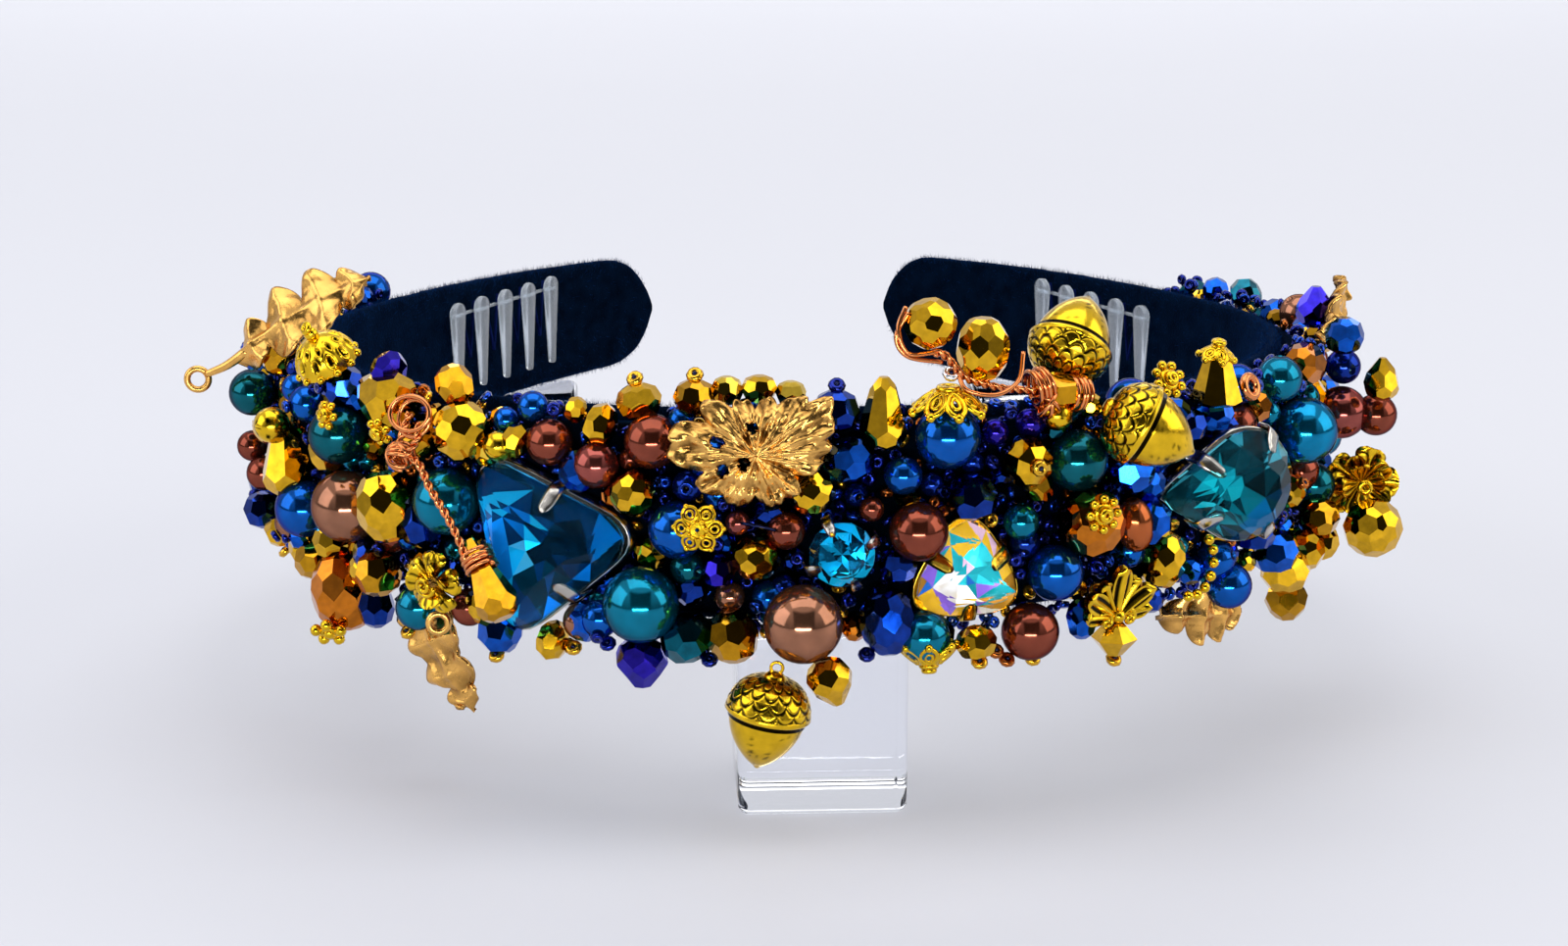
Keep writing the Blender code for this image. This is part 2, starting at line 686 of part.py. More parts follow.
def add_leaves():
    add_part("leaf_centre", maple_leaf(), "brass",
             in_metres(seat(-7.6, 24.4, 11.4, 4.0, 10.0)))
    places = {
        "leaf_upper_left": seat(-90.0, 25.0, 14.0, -52.0, 30.0, 40.0),
        "leaf_lower_left": seat(-56.0, 0.3, 5.8, 208.0, -4.0, 10.0),
        "leaf_lower_right": seat(47.0, -4.0, 4.8, -100.0, 0.0, 0.0),
        "leaf_upper_right": seat(80.8, 27.3, 9.4, -62.0, 0.0, 0.0),
    }
    for name, place in places.items():
        leaf = oak_leaf(OAK_LEAVES[name])
        if name == "leaf_upper_left":
            leaf = union([leaf] + stem_and_ring(place))
        add_part(name, leaf, "brass", in_metres(place))


# Acorns

ACORN_LENGTH = 13.0
ACORN_WIDTH = 11.2
ACORN_SIDES = 12
PENDANT_LOOP = 1.8
PENDANT_LOOP_HEIGHT = 6.9
AcornRing = namedtuple("AcornRing", "reach level relief")
ACORN_RINGS = (
    AcornRing(0.0, 0.50, 0.0), AcornRing(0.13, 0.50, 0.0), AcornRing(0.15, 0.43, 0.0),
    AcornRing(0.28, 0.42, 0.03), AcornRing(0.40, 0.33, -0.03), AcornRing(0.48, 0.22, 0.03),
    AcornRing(0.50, 0.10, -0.03), AcornRing(0.47, 0.03, 0.0), AcornRing(0.42, 0.02, 0.0),
    AcornRing(0.42, -0.10, 0.0), AcornRing(0.36, -0.24, 0.0), AcornRing(0.24, -0.37, 0.0),
    AcornRing(0.08, -0.45, 0.0), AcornRing(0.0, -0.50, 0.0),
)


def acorn():
    """An acorn along Z with its cap up. The cap's scales stand out by turns round each ring."""
    profile = [(ring.reach * ACORN_WIDTH, ring.level * ACORN_LENGTH) for ring in ACORN_RINGS]
    solid = turned(profile, ACORN_SIDES)
    relief = {round(ring.level * ACORN_LENGTH, 3): ring.relief for ring in ACORN_RINGS}
    for vert in solid.verts:
        raised = relief.get(round(vert.co.z, 3), 0.0)
        step = round(math.degrees(math.atan2(vert.co.y, vert.co.x)) * ACORN_SIDES / 360.0)
        if raised and step % 2 == 0:
            vert.co.x *= 1 + 2 * raised
            vert.co.y *= 1 + 2 * raised
    return solid


def add_acorns():
    upright = Matrix.Rotation(math.radians(-90.0), 4, "X")
    places = {
        "acorn_pendant": seat(-6.6, -10.0, 10.6, -11.0) @ upright,
        "acorn_upper": seat(31.6, 35.4, 3.6, 145.0, 25.0) @ upright,
        "acorn_side": seat(35.2, 25.6, 14.6, 62.0, -10.0, -40.0) @ upright,
    }
    for name, place in places.items():
        solid = acorn()
        if name == "acorn_pendant":
            loop = moved(ball(PENDANT_LOOP, 10, 5), Matrix.Translation((0, 0, PENDANT_LOOP_HEIGHT)))
            solid = union([solid, loop])
        add_part(name, solid, "antique", in_metres(place))


# Caps and flowers

def petal_disc(petals, tip, notch, dome, thick):
    """A domed disc with rounded petals. Its crown is at Z zero and its rim hangs below."""
    rim = []
    for petal in range(petals):
        for share, reach, curl in ((0.0, notch, 0.25), (0.32, tip, 0.0), (0.68, tip, 0.0)):
            rim.append((2 * math.pi * (petal + share) / petals, reach, curl))
    solid = bmesh.new()
    sheets = []
    for under in (0.0, thick):
        crown = solid.verts.new((0.0, 0.0, -under))
        rings = [[solid.verts.new((reach * share * math.cos(angle), reach * share * math.sin(angle),
                                   -dome * drop - curl - under)) for angle, reach, curl in rim]
                 for share, drop in ((0.55, 0.30), (1.0, 1.0))]
        for i in range(len(rim)):
            j = (i + 1) % len(rim)
            solid.faces.new((crown, rings[0][i], rings[0][j]))
            solid.faces.new((rings[0][i], rings[1][i], rings[1][j], rings[0][j]))
        sheets.append(rings[1])
    for i in range(len(rim)):
        j = (i + 1) % len(rim)
        solid.faces.new((sheets[0][i], sheets[1][i], sheets[1][j], sheets[0][j]))
    bmesh.ops.recalc_face_normals(solid, faces=solid.faces)
    return solid


def layered_flower(width):
    """Two rows of petals turned between each other, round a middle bead."""
    low = petal_disc(8, width / 2, width * 0.38, 0.6, 1.0)
    high = moved(petal_disc(8, width * 0.36, width * 0.26, 0.2, 1.2),
                 Matrix.Translation((0, 0, 0.85)) @ Matrix.Rotation(0.35, 4, "Z"))
    heart = moved(ball(width * 0.26, 10, 5),
                  Matrix.Translation((0, 0, 1.7)) @ Matrix.Rotation(0.2, 4, "Z"))
    return union([low, high, heart])


def fan_leaf(width, height):
    """Half a rosette: ribs spread over a half circle from the root at the origin."""
    ribs = 7
    points = []
    for i in range(2 * ribs + 1):
        angle = math.pi * i / (2 * ribs)
        reach = 1.0 if i % 2 else 0.80
        points.append((width / 2 * reach * math.cos(angle), height * reach * math.sin(angle),
                       0.35 if i % 2 else -0.35))
    solid = bmesh.new()
    sheets = []
    for under in (0.0, 1.0):
        root = solid.verts.new((0.0, -0.12 * height, 0.9 - under))
        rim = [solid.verts.new((x, y, z - under)) for x, y, z in points]
        for a, b in zip(rim, rim[1:]):
            solid.faces.new((root, a, b))
        sheets.append([root] + rim)
    top, bottom = sheets
    for i in range(len(top)):
        j = (i + 1) % len(top)
        solid.faces.new((top[i], bottom[i], bottom[j], top[j]))
    bmesh.ops.recalc_face_normals(solid, faces=solid.faces)
    return solid


def add_caps():
    flat = Matrix.Rotation(math.radians(-90.0), 4, "X")
    top_pearl = next(p for p in PEARLS if p.name == "pearl_blue_top")
    cap_lift = top_pearl.size / 2 + 1.6
    stand_off = GROUND_OUTER + GAP + top_pearl.size / 2 + top_pearl.lift
    add_part("cap_top", petal_disc(8, 4.8, 4.2, 2.2, 0.8), "antique",
             in_metres(seat(top_pearl.station, top_pearl.height + cap_lift, stand_off) @ flat))
    add_part("cap_left", petal_disc(9, 5.0, 4.2, 2.8, 1.0), "antique",
             in_metres(seat(-66.0, 31.0, 10.6, 0.0, 40.0)))
    add_part("cap_low_left", petal_disc(6, 3.9, 2.6, 1.2, 1.0), "antique",
             in_metres(seat(-48.4, 2.6, 8.6, 0.0, -10.0)))
    add_part("flower_front", petal_disc(6, 3.3, 2.2, 0.9, 1.0), "antique",
             in_metres(seat(-13.6, 15.4, 13.6, 0.0, 0.0)))
    add_part("flower_right", layered_flower(11.0), "antique",
             in_metres(seat(84.4, 6.6, 14.2, 0.0, 0.0, -70.0)))
    add_part("palmette_right", fan_leaf(10.4, 7.6), "antique",
             in_metres(seat(35.4, -0.6, 8.6, 0.0, -10.0)))


# Wire sprays

WirePoint = namedtuple("WirePoint", "station height stand_off")
LEFT_STEM = (
    WirePoint(-51.3, 25.3, 8.6), WirePoint(-50.4, 20.6, 12.8), WirePoint(-48.4, 17.0, 13.8),
    WirePoint(-45.0, 11.0, 13.8), WirePoint(-42.6, 6.0, 14.4),
)
RIGHT_STEM = (
    WirePoint(25.6, 27.8, 6.4), WirePoint(24.0, 30.4, 8.4), WirePoint(19.6, 31.4, 8.0),
    WirePoint(14.6, 34.6, 7.8), WirePoint(11.6, 37.6, 7.8),
)


def on_stem(points):
    return [on_band(p.station, p.height, p.stand_off) for p in points]


def add_sprays():
    upright = Matrix.Rotation(math.radians(-90.0), 4, "X")
    stem = wire(on_stem(LEFT_STEM), SPRAY_WIRE)
    drop = moved(cut_bead("round", 4.6, 12.4), seat(-38.6, 2.8, 14.0, 40.0) @ upright)
    knot = moved(ball(3.6, 10, 5), seat(-50.4, 21.0, 13.6))
    add_part("wire_spray_left", union([drop, stem, knot]), "copper")
    stem = wire(on_stem(RIGHT_STEM), SPRAY_WIRE)
    round_bead = moved(cut_bead("round", 6.4, 6.4), seat(11.6, 40.0, 8.0, 20.0) @ upright)
    oval_bead = moved(cut_bead("round", 6.4, 8.4), seat(17.8, 36.4, 8.0, 0.0) @ upright)
    tube = moved(loft([ring_of(1.7, z, 8) for z in (-3.4, 3.4)]),
                 seat(26.4, 30.2, 8.8) @ Matrix.Rotation(math.pi / 2, 4, "Y"))
    add_part("wire_spray_right", union([round_bead, stem, oval_bead, tube]), "copper")


# Bead fields

FieldRow = namedtuple("FieldRow", "height first last step size")
FIELD_ROWS = (
    FieldRow(0.0, 3.8, 92.0, 9.4, 7.0), FieldRow(9.2, 8.4, 90.0, 9.4, 7.2),
    FieldRow(18.2, 3.8, 92.0, 9.4, 7.2), FieldRow(27.2, 8.4, 90.0, 9.4, 6.0),
    FieldRow(1.0, 99.0, 146.0, 14.0, 7.4), FieldRow(11.0, 92.0, 146.0, 14.0, 7.8),
    FieldRow(21.0, 99.0, 146.0, 14.0, 7.4),
)


def field_beads(side, obstacles):
    """Small beads on a staggered grid, each drawn in to stay clear of the main pieces."""
    chosen = []
    for row in FIELD_ROWS:
        station = row.first
        while station < row.last:
            height = row.height * band_height(station) / BAND_HEIGHT_FRONT
            bead = fit_bead(side * station, height, row.size, obstacles, chosen)
            if bead:
                chosen.append(bead)
            station += row.step
    return chosen


def fit_bead(station, height, size, obstacles, chosen):
    """The largest bead up to a size that is clear of its neighbours and bites the ground."""
    radius = size / 2
    while radius >= SMALL_BEAD_LEAST:
        rise = radius - SMALL_BEAD_BITE
        past_edge = math.sqrt((radius - SMALL_BEAD_EDGE_BITE) ** 2 - rise ** 2)
        lowest = GROUND_MARGIN - past_edge
        highest = band_height(station) - lowest
        level = min(max(height, lowest), highest)
        centre = on_band(station, level, GROUND_OUTER + rise)
        room = min((tree.find_nearest(centre * MM)[3] / MM for tree in obstacles), default=99.0)
        room = min([room - GAP] + [(centre - other).length - reach - 0.1
                                   for other, reach in chosen])
        if room >= radius:
            return centre, radius
        radius -= 0.2
    return None


def main_obstacles():
    """Search trees of every piece placed so far, except the band itself."""
    bpy.context.view_layer.update()
    graph = bpy.context.evaluated_depsgraph_get()
    trees = []
    for part in PARTS.objects:
        if part.name != "velvet_band":
            solid = bmesh.new()
            solid.from_object(part, graph)
            solid.transform(part.matrix_world)
            trees.append(BVHTree.FromBMesh(solid))
            solid.free()
    return trees


def ground_strip(side):
    stations = band_stations(GAP / 2, GROUND_END, SECTION_STEP)
    rings = []
    for station in stations:
        top = band_height(station) - GROUND_MARGIN
        corners = ((GROUND_INNER, GROUND_MARGIN), (GROUND_OUTER, GROUND_MARGIN),
                   (GROUND_OUTER, top), (GROUND_INNER, top))
        rings.append([on_band(side * station, height, off) for off, height in corners])
    return loft(rings)


def add_fields():
    obstacles = main_obstacles()
    for name, side in (("bead_field_left", -1), ("bead_field_right", 1)):
        solid = ground_strip(side)
        beads = bmesh.new()
        for centre, radius in field_beads(side, obstacles):
            bmesh.ops.create_uvsphere(beads, u_segments=SMALL_BEAD_SIDES,
                                      v_segments=SMALL_BEAD_RINGS, radius=radius,
                                      matrix=Matrix.Translation(centre))
        add_part(name, boolean(solid, beads, "UNION"), "deep_blue")


clear_scene()
PARTS = make_collection("tiara")
GUIDES = make_collection("guides")
add_blocks()
add_band()
for comb_name, comb_station in COMB_STATIONS.items():
    add_comb(comb_name, comb_station)
add_pearls()
add_cut_beads()
add_set_stones()
add_leaves()
add_acorns()
add_caps()
add_sprays()
add_fields()
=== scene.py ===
"""The finished look of a beaded velvet tiara on clear acrylic blocks.

Lengths are millimetres until a mesh is made. A place on the band is given by its station, the
distance along the band from the middle of the front (left is negative), its height above the
band's lower edge, and its stand-off, the distance outwards from the middle of the band.
"""
import json
import math
import random
from collections import namedtuple

import bmesh
import bpy
import numpy as np
from mathutils import Matrix, Vector, noise
from mathutils.bvhtree import BVHTree


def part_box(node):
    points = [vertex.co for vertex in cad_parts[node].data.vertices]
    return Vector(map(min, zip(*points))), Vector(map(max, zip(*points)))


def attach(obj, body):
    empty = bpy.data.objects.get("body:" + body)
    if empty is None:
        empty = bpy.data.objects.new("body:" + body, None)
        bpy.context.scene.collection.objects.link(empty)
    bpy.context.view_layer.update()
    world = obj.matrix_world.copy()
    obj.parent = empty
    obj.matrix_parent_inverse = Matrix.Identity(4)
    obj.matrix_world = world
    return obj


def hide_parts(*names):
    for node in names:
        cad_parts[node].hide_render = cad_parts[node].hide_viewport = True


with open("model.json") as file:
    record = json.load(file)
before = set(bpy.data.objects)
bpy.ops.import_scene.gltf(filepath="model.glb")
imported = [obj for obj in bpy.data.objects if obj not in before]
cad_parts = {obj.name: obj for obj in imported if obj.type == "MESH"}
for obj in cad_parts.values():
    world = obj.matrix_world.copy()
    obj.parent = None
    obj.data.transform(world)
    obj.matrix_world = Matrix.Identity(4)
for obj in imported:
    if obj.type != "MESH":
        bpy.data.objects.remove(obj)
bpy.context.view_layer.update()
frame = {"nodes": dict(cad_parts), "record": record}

MM = 0.001
TAU = 2 * math.pi
BODY = "root"
FRAME_SLOTS = {row["node"]: row["material_slot"] for row in frame["record"]["subparts"]}
noise.seed_set(3)

# Band, as in the solid model
BandArc = namedtuple("BandArc", "radius degrees")
BAND_ARCS = (BandArc(70.0, 88.0), BandArc(52.0, 20.0), BandArc(175.0, 28.5))
BAND_FRONT_Y = -7.5
BAND_LOWER_EDGE = 25.7
BAND_HEIGHT_FRONT = 28.0
BAND_HEIGHT_TIP = 18.0
BAND_TAPER_POWER = 1.3
BAND_THICKNESS = 3.6
GROUND_INNER = 2.1
GROUND_OUTER = 3.6
GROUND_END = 150.0
BLOCK_WIDTH = 22.0
BLOCK_HEIGHT = 25.4
BLOCK_AIR = 0.03
BLOCK_EDGE = 1.5
REAR_BLOCK_STATION = 178.0
COMB_STATIONS = {"comb_left": -172.0, "comb_right": 160.0}

# Camera, at the photograph's viewing angle
CAMERA_PLACE = (-24.203, -402.192, 146.595)
CAMERA_TILT = 75.59
CAMERA_TURN = -2.803
CAMERA_LENS = 73.8

# Dyes and metals, as sRGB hex
DYES = {
    "teal": "067490", "green": "045A66", "blue": "0654AC", "navy": "0A2C88",
    "bronze": "9C6A50", "brown": "84402E", "mauve": "904840", "violet": "241690",
    "copper": "A8582C", "sky": "067CA8",
    "cut_blue": "0452BC", "cut_navy": "083494", "cut_teal": "066478", "cut_violet": "2A1CAC",
    "gold": "E2AE1E", "gold_pale": "ECC440", "gold_deep": "C89014", "amber": "C8741A",
    # patina is the dark of patina in the hollows of the castings, and also painted shade inside
    # pearl drill holes and in the holes of pierced castings; brass_shadow is painted shade in the
    # folds of the brass leaves
    "antique": "E4B824", "patina_and_shade": "140E02",
    "brass": "E2AC5A", "brass_shadow": "52300E", "copper_wire": "DC8850", "silver": "C4C0B8",
    "seed_navy": "0A1E7C", "seed_blue": "0A3CA4", "seed_gold": "D8A424", "seed_amber": "A85A18",
    # velvet_hair_painted_sheen is a lighter blue than the velvet: a painted sheen on the hairs of
    # the pile
    "thread": "0A1440", "velvet": "020D1E", "velvet_hair_painted_sheen": "0A2A5A", "felt": "01060F",
    "clear": "F4F6FA",
    # The foil tints are lighter and darker copies of each stone's colours, and on the clear crystal
    # the rainbow of its coat, laid on the foil's flats as painted light, shade and glints
    "foil_white": "FFFFFF", "foil_sky": "58F4FF", "foil_blue": "249CD8", "foil_deep": "124060",
    "foil_night": "081C24", "foil_aqua": "58F8F4", "foil_teal": "2CA4A8", "foil_pine": "14484E",
    "foil_ink": "0A181C", "foil_cyan": "0CB0BC", "foil_azure": "2070D8", "foil_pink": "ECC4E0",
    "foil_gold": "F0C024", "foil_bronze": "A0700C", "foil_violet": "8460D8", "foil_pale": "F0ECDC",
}


def linear(code):
    """An sRGB hex colour as linear red, green, blue and alpha."""
    parts = [int(code[i:i + 2], 16) / 255 for i in (0, 2, 4)]
    return tuple(p / 12.92 if p <= 0.04045 else ((p + 0.055) / 1.055) ** 2.4
                 for p in parts) + (1.0,)


# Places on the band

HALF_LENGTH = sum(arc.radius * math.radians(arc.degrees) for arc in BAND_ARCS)


def band_plan(station):
    """Plan point and heading of the band's middle line at a station."""
    x, y, heading = 0.0, BAND_FRONT_Y, 0.0
    rest = abs(station)
    for arc in BAND_ARCS:
        last = arc is BAND_ARCS[-1]
        run = rest if last else min(rest, arc.radius * math.radians(arc.degrees))
        turned = heading + run / arc.radius
        x += arc.radius * (math.sin(turned) - math.sin(heading))
        y += arc.radius * (math.cos(heading) - math.cos(turned))
        heading = turned
        rest -= run
    if station < 0:
        return -x, y, -heading
    return x, y, heading


def band_height(station):
    share = min(1.0, abs(station) / HALF_LENGTH)
    return BAND_HEIGHT_FRONT - (BAND_HEIGHT_FRONT - BAND_HEIGHT_TIP) * share ** BAND_TAPER_POWER


def on_band(station, height, stand_off):
    x, y, heading = band_plan(station)
    return Vector((x + math.sin(heading) * stand_off,
                   y - math.cos(heading) * stand_off,
                   BAND_LOWER_EDGE + height))


def seat(station, height, stand_off, turn=0.0, lean=0.0, swing=0.0):
    """Place whose local X runs along the band, Y up and Z outwards."""
    heading = band_plan(station)[2]
    along = Vector((math.cos(heading), math.sin(heading), 0.0))
    outward = Vector((math.sin(heading), -math.cos(heading), 0.0))
    facing = Matrix((along, Vector((0, 0, 1)), outward)).transposed().to_4x4()
    spin = (Matrix.Rotation(math.radians(swing), 4, "Y")
            @ Matrix.Rotation(math.radians(-lean), 4, "X")
            @ Matrix.Rotation(math.radians(turn), 4, "Z"))
    return Matrix.Translation(on_band(station, height, stand_off)) @ facing @ spin


def nearest_station(spot):
    """The station whose plan point lies nearest a spot in millimetres."""
    stations = np.arange(-HALF_LENGTH, HALF_LENGTH, 0.5)
    return min(stations, key=lambda s: math.dist(band_plan(s)[:2], spot[:2]))


def half_of(station):
    return "left" if station < 0 else "right"


def node_centre(node):
    low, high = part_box(node)
    return (Vector(low) + Vector(high)) / 2 / MM


def node_size(node):
    low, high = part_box(node)
    return min(b - a for a, b in zip(low, high)) / MM


UPRIGHT = Matrix.Rotation(math.radians(-90.0), 4, "X")


def spun(degrees):
    return Matrix.Rotation(math.radians(degrees), 4, "Z")


def shifted(x, y, z):
    return Matrix.Translation((x, y, z))


# Shapes: points in millimetres, faces, and how far each point is darkened, from 0 to 1, by patina in
# the hollows of castings and by painted shade in holes, folds and creases

Shape = namedtuple("Shape", "points faces wear smooth")


def shape(points, faces, wear=None, smooth=True):
    points = np.array([tuple(p) for p in points], dtype=float)
    if wear is None:
        wear = np.zeros(len(points))
    return Shape(points, [tuple(f) for f in faces], np.array(wear, dtype=float), smooth)


def placed(one, place):
    turn = np.array(place)
    return one._replace(points=one.points @ turn[:3, :3].T + turn[:3, 3])


def scaled(one, x, y, z):
    return one._replace(points=one.points * np.array((x, y, z)))


def joined(*several):
    points, faces, wear, start = [], [], [], 0
    for one in several:
        points.append(one.points)
        wear.append(one.wear)
        faces += [tuple(i + start for i in f) for f in one.faces]
        start += len(one.points)
    return Shape(np.vstack(points), faces, np.concatenate(wear), several[0].smooth)


def lathe(profile, sides, painted_shade_below=0.0):
    """Turn a profile of (reach, level), given from the bottom up, round Z."""
    points, faces, wear, rings = [], [], [], []
    for reach, level in profile:
        count = 1 if reach < 1e-6 else sides
        rings.append([len(points) + i for i in range(count)])
        for i in range(count):
            angle = TAU * i / sides
            points.append((reach * math.cos(angle), reach * math.sin(angle), level))
            # Points nearer the axis than the given reach are painted fully dark, as shade inside a
            # hole
            wear.append(1.0 if reach < painted_shade_below else 0.0)
    for low, high in zip(rings, rings[1:]):
        for i in range(sides):
            j = (i + 1) % sides
            if len(low) == 1:
                faces.append((low[0], high[j], high[i]))
            elif len(high) == 1:
                faces.append((low[i], low[j], high[0]))
            else:
                faces.append((low[i], low[j], high[j], high[i]))
    return shape(points, faces, wear)


def ball(diameter, sides, rings):
    radius = diameter / 2
    profile = [(radius * math.sin(math.pi * i / rings), -radius * math.cos(math.pi * i / rings))
               for i in range(1, rings)]
    return lathe([(0.0, -radius)] + profile + [(0.0, radius)], sides)


def torus(reach, thick, sides, round_sides, height=1.0):
    """A ring round Z, whose section may be drawn out along Z."""
    points, faces = [], []
    for i in range(sides):
        for j in range(round_sides):
            a, b = TAU * i / sides, TAU * j / round_sides
            out = reach + thick * math.cos(b)
            points.append((out * math.cos(a), out * math.sin(a), thick * height * math.sin(b)))
    for i in range(sides):
        for j in range(round_sides):
            k, m = (i + 1) % sides, (j + 1) % round_sides
            faces.append((i * round_sides + j, k * round_sides + j,
                          k * round_sides + m, i * round_sides + m))
    return shape(points, faces)


def web(rows, wear=None, round_closed=False):
    """A surface through rows of points, each row as long as the next."""
    points = [p for row in rows for p in row]
    width = len(rows[0])
    faces = []
    for i in range(len(rows) - 1):
        for j in range(width if round_closed else width - 1):
            k = (j + 1) % width
            faces.append((i * width + j, i * width + k, (i + 1) * width + k, (i + 1) * width + j))
    return shape(points, faces, wear)


def tube(path, radius, sides, closed=False):
    """A wire along a path. radius is one number, or one for each point."""
    path = [Vector(p) for p in path]
    count = len(path)
    radii = radius if hasattr(radius, "__len__") else [radius] * count
    ways = []
    for i in range(count):
        before = path[i - 1] if closed or i else path[0]
        after = path[(i + 1) % count] if closed or i < count - 1 else path[-1]
        ways.append((after - before).normalized())
    side = ways[0].orthogonal().normalized()
    rows = []
    for spot, way, reach in zip(path, ways, radii):
        side = (side - way * side.dot(way)).normalized()
        other = way.cross(side)
        rows.append([spot + (side * math.cos(TAU * j / sides)
                             + other * math.sin(TAU * j / sides)) * reach for j in range(sides)])
    if closed:
        rows.append(rows[0])
        return web(rows, round_closed=True)
    made = web(rows, round_closed=True)
    caps = [tuple(reversed(range(sides))), tuple(range((count - 1) * sides, count * sides))]
    return made._replace(faces=made.faces + caps)


def smooth_path(points, steps):
    """A curve through given points, by Catmull and Rom's rule."""
    points = [Vector(p) for p in points]
    ends = [2 * points[0] - points[1]] + points + [2 * points[-1] - points[-2]]
    path = []
    for a, b, c, d in zip(ends, ends[1:], ends[2:], ends[3:]):
        for i in range(steps):
            t = i / steps
            path.append(0.5 * (2 * b + (c - a) * t + (2 * a - 5 * b + 4 * c - d) * t ** 2
                               + (3 * b - a - 3 * c + d) * t ** 3))
    return path + [points[-1]]


def twisted(path, thick, pitch):
    """Two wires wound round each other along a path."""
    strands = []
    for start in (0.0, math.pi):
        spots, run = [], 0.0
        side = None
        for i, spot in enumerate(path):
            way = (path[min(i + 1, len(path) - 1)] - path[max(i - 1, 0)]).normalized()
            side = way.orthogonal() if side is None else side - way * side.dot(way)
            side.normalize()
            run += (spot - path[i - 1]).length if i else 0.0
            angle = start + TAU * run / pitch
            spots.append(spot + (side * math.cos(angle) + way.cross(side) * math.sin(angle))
                         * thick * 1.05)
        strands.append(tube(spots, thick, 6))
    return joined(*strands)


COIL_STEPS = 18


def coil(reach, thick, turns, pitch, wander, seed):
    """A wire wound round Z, a little unevenly."""
    chance = random.Random(seed)
    steps = int(turns * COIL_STEPS)
    spots = []
    sway = chance.uniform(0, TAU)
    for i in range(steps + 1):
        angle = TAU * i / COIL_STEPS
        out = reach + wander * math.sin(angle * 0.37 + sway)
        spots.append((out * math.cos(angle), out * math.sin(angle),
                      pitch * (i / COIL_STEPS - turns / 2) + wander * math.sin(angle * 0.5 + sway)))
    return tube(spots, thick, 6)


def cut_body(cuts, middle=(0.0, 0.0, 0.0)):
    """The closed body inside flat cuts, each a direction and a distance from the origin.

    Each cut becomes a point of the dual hull, and each face of that hull a corner of the body.
    """
    middle = Vector(middle)
    dual = bmesh.new()
    for direction, distance in cuts:
        direction = Vector(direction).normalized()
        dual.verts.new(direction / (distance - direction.dot(middle)))
    bmesh.ops.convex_hull(dual, input=dual.verts)
    dual.normal_update()
    corners = {}
    for face in dual.faces:
        corners[face] = face.normal / face.normal.dot(face.verts[0].co) + middle
    body = bmesh.new()
    spots = {face: body.verts.new(corner) for face, corner in corners.items()}
    for vert in dual.verts:
        if len(vert.link_faces) < 3:
            continue
        way = vert.co.normalized()
        side = way.orthogonal().normalized()
        other = way.cross(side)
        centre = sum((corners[f] for f in vert.link_faces), Vector()) / len(vert.link_faces)
        ring = sorted(vert.link_faces, key=lambda f: math.atan2(
            (corners[f] - centre).dot(other), (corners[f] - centre).dot(side)))
        body.faces.new([spots[f] for f in ring])
    bmesh.ops.remove_doubles(body, verts=body.verts, dist=0.005)
    bmesh.ops.dissolve_degenerate(body, edges=body.edges, dist=0.004)
    loose = [v for v in body.verts if not v.link_faces]
    bmesh.ops.delete(body, geom=loose, context="VERTS")
    bmesh.ops.recalc_face_normals(body, faces=body.faces)
    body.verts.index_update()
    made = shape([v.co for v in body.verts], [[v.index for v in f.verts] for f in body.faces],
                 smooth=False)
    body.free()
    dual.free()
    return made


def way_of(elevation, azimuth):
    return Vector((math.cos(elevation) * math.cos(azimuth),
                   math.cos(elevation) * math.sin(azimuth), math.sin(elevation)))


# Cut beads: rows of flats at an elevation, ground on a turned glass blank

CutRow = namedtuple("CutRow", "elevation count shift")
ROUND_ROWS = (CutRow(60.0, 7, 0.5), CutRow(20.0, 8, 0.0),
              CutRow(-20.0, 8, 0.5), CutRow(-60.0, 7, 0.0))
FINE_ROWS = (CutRow(68.0, 6, 0.5), CutRow(40.0, 9, 0.0), CutRow(13.0, 9, 0.5),
             CutRow(-13.0, 9, 0.0), CutRow(-40.0, 9, 0.5), CutRow(-68.0, 6, 0.0))
BLANKS = {
    "round": ROUND_ROWS,
    "fine": FINE_ROWS,
    "small": (CutRow(52.0, 6, 0.5), CutRow(0.0, 6, 0.0), CutRow(-52.0, 6, 0.5)),
    "bicone": (CutRow(42.0, 6, 0.0), CutRow(-42.0, 6, 0.0)),
    "drop": (CutRow(37.0, 7, 0.0), CutRow(14.0, 7, 0.5), CutRow(-20.0, 7, 0.0),
             CutRow(-56.0, 7, 0.5)),
    "cone": (CutRow(16.0, 7, 0.0), CutRow(-62.0, 7, 0.5)),
}
FLAT_END = 0.93


def blank_points(kind, width, length):
    """Profile points of the blank, as (reach, level)."""
    if kind == "drop":
        bulb = width / 2
        middle = bulb - length / 2
        circle = [(bulb * math.cos(a), middle + bulb * math.sin(a))
                  for a in np.linspace(-math.pi / 2, math.pi / 2, 19)]
        return circle + [(width * 0.07, length / 2)]
    if kind == "cone":
        return [(width * 0.26, length / 2), (width * 0.5, -length * 0.36),
                (width * 0.36, -length / 2)]
    return [(width / 2 * math.cos(a), length / 2 * math.sin(a))
            for a in np.linspace(-math.pi / 2, math.pi / 2, 37)]


def cut_bead(kind, width, length):
    """A faceted glass bead with its hole along Z."""
    profile = blank_points(kind, width, length)
    cuts = [((0, 0, 1), length / 2 * FLAT_END), ((0, 0, -1), length / 2 * FLAT_END)]
    for row in BLANKS[kind]:
        rise = math.radians(row.elevation)
        if kind not in ("drop", "cone"):
            rise = math.atan2(math.sin(rise) * width, math.cos(rise) * length)
        reach = max(r * math.cos(rise) + z * math.sin(rise) for r, z in profile)
        for i in range(row.count):
            azimuth = TAU * (i + row.shift) / row.count
            cuts.append((way_of(rise, azimuth), reach * 0.985))
    return cut_body(cuts)


DRILL_HOLE = 0.45


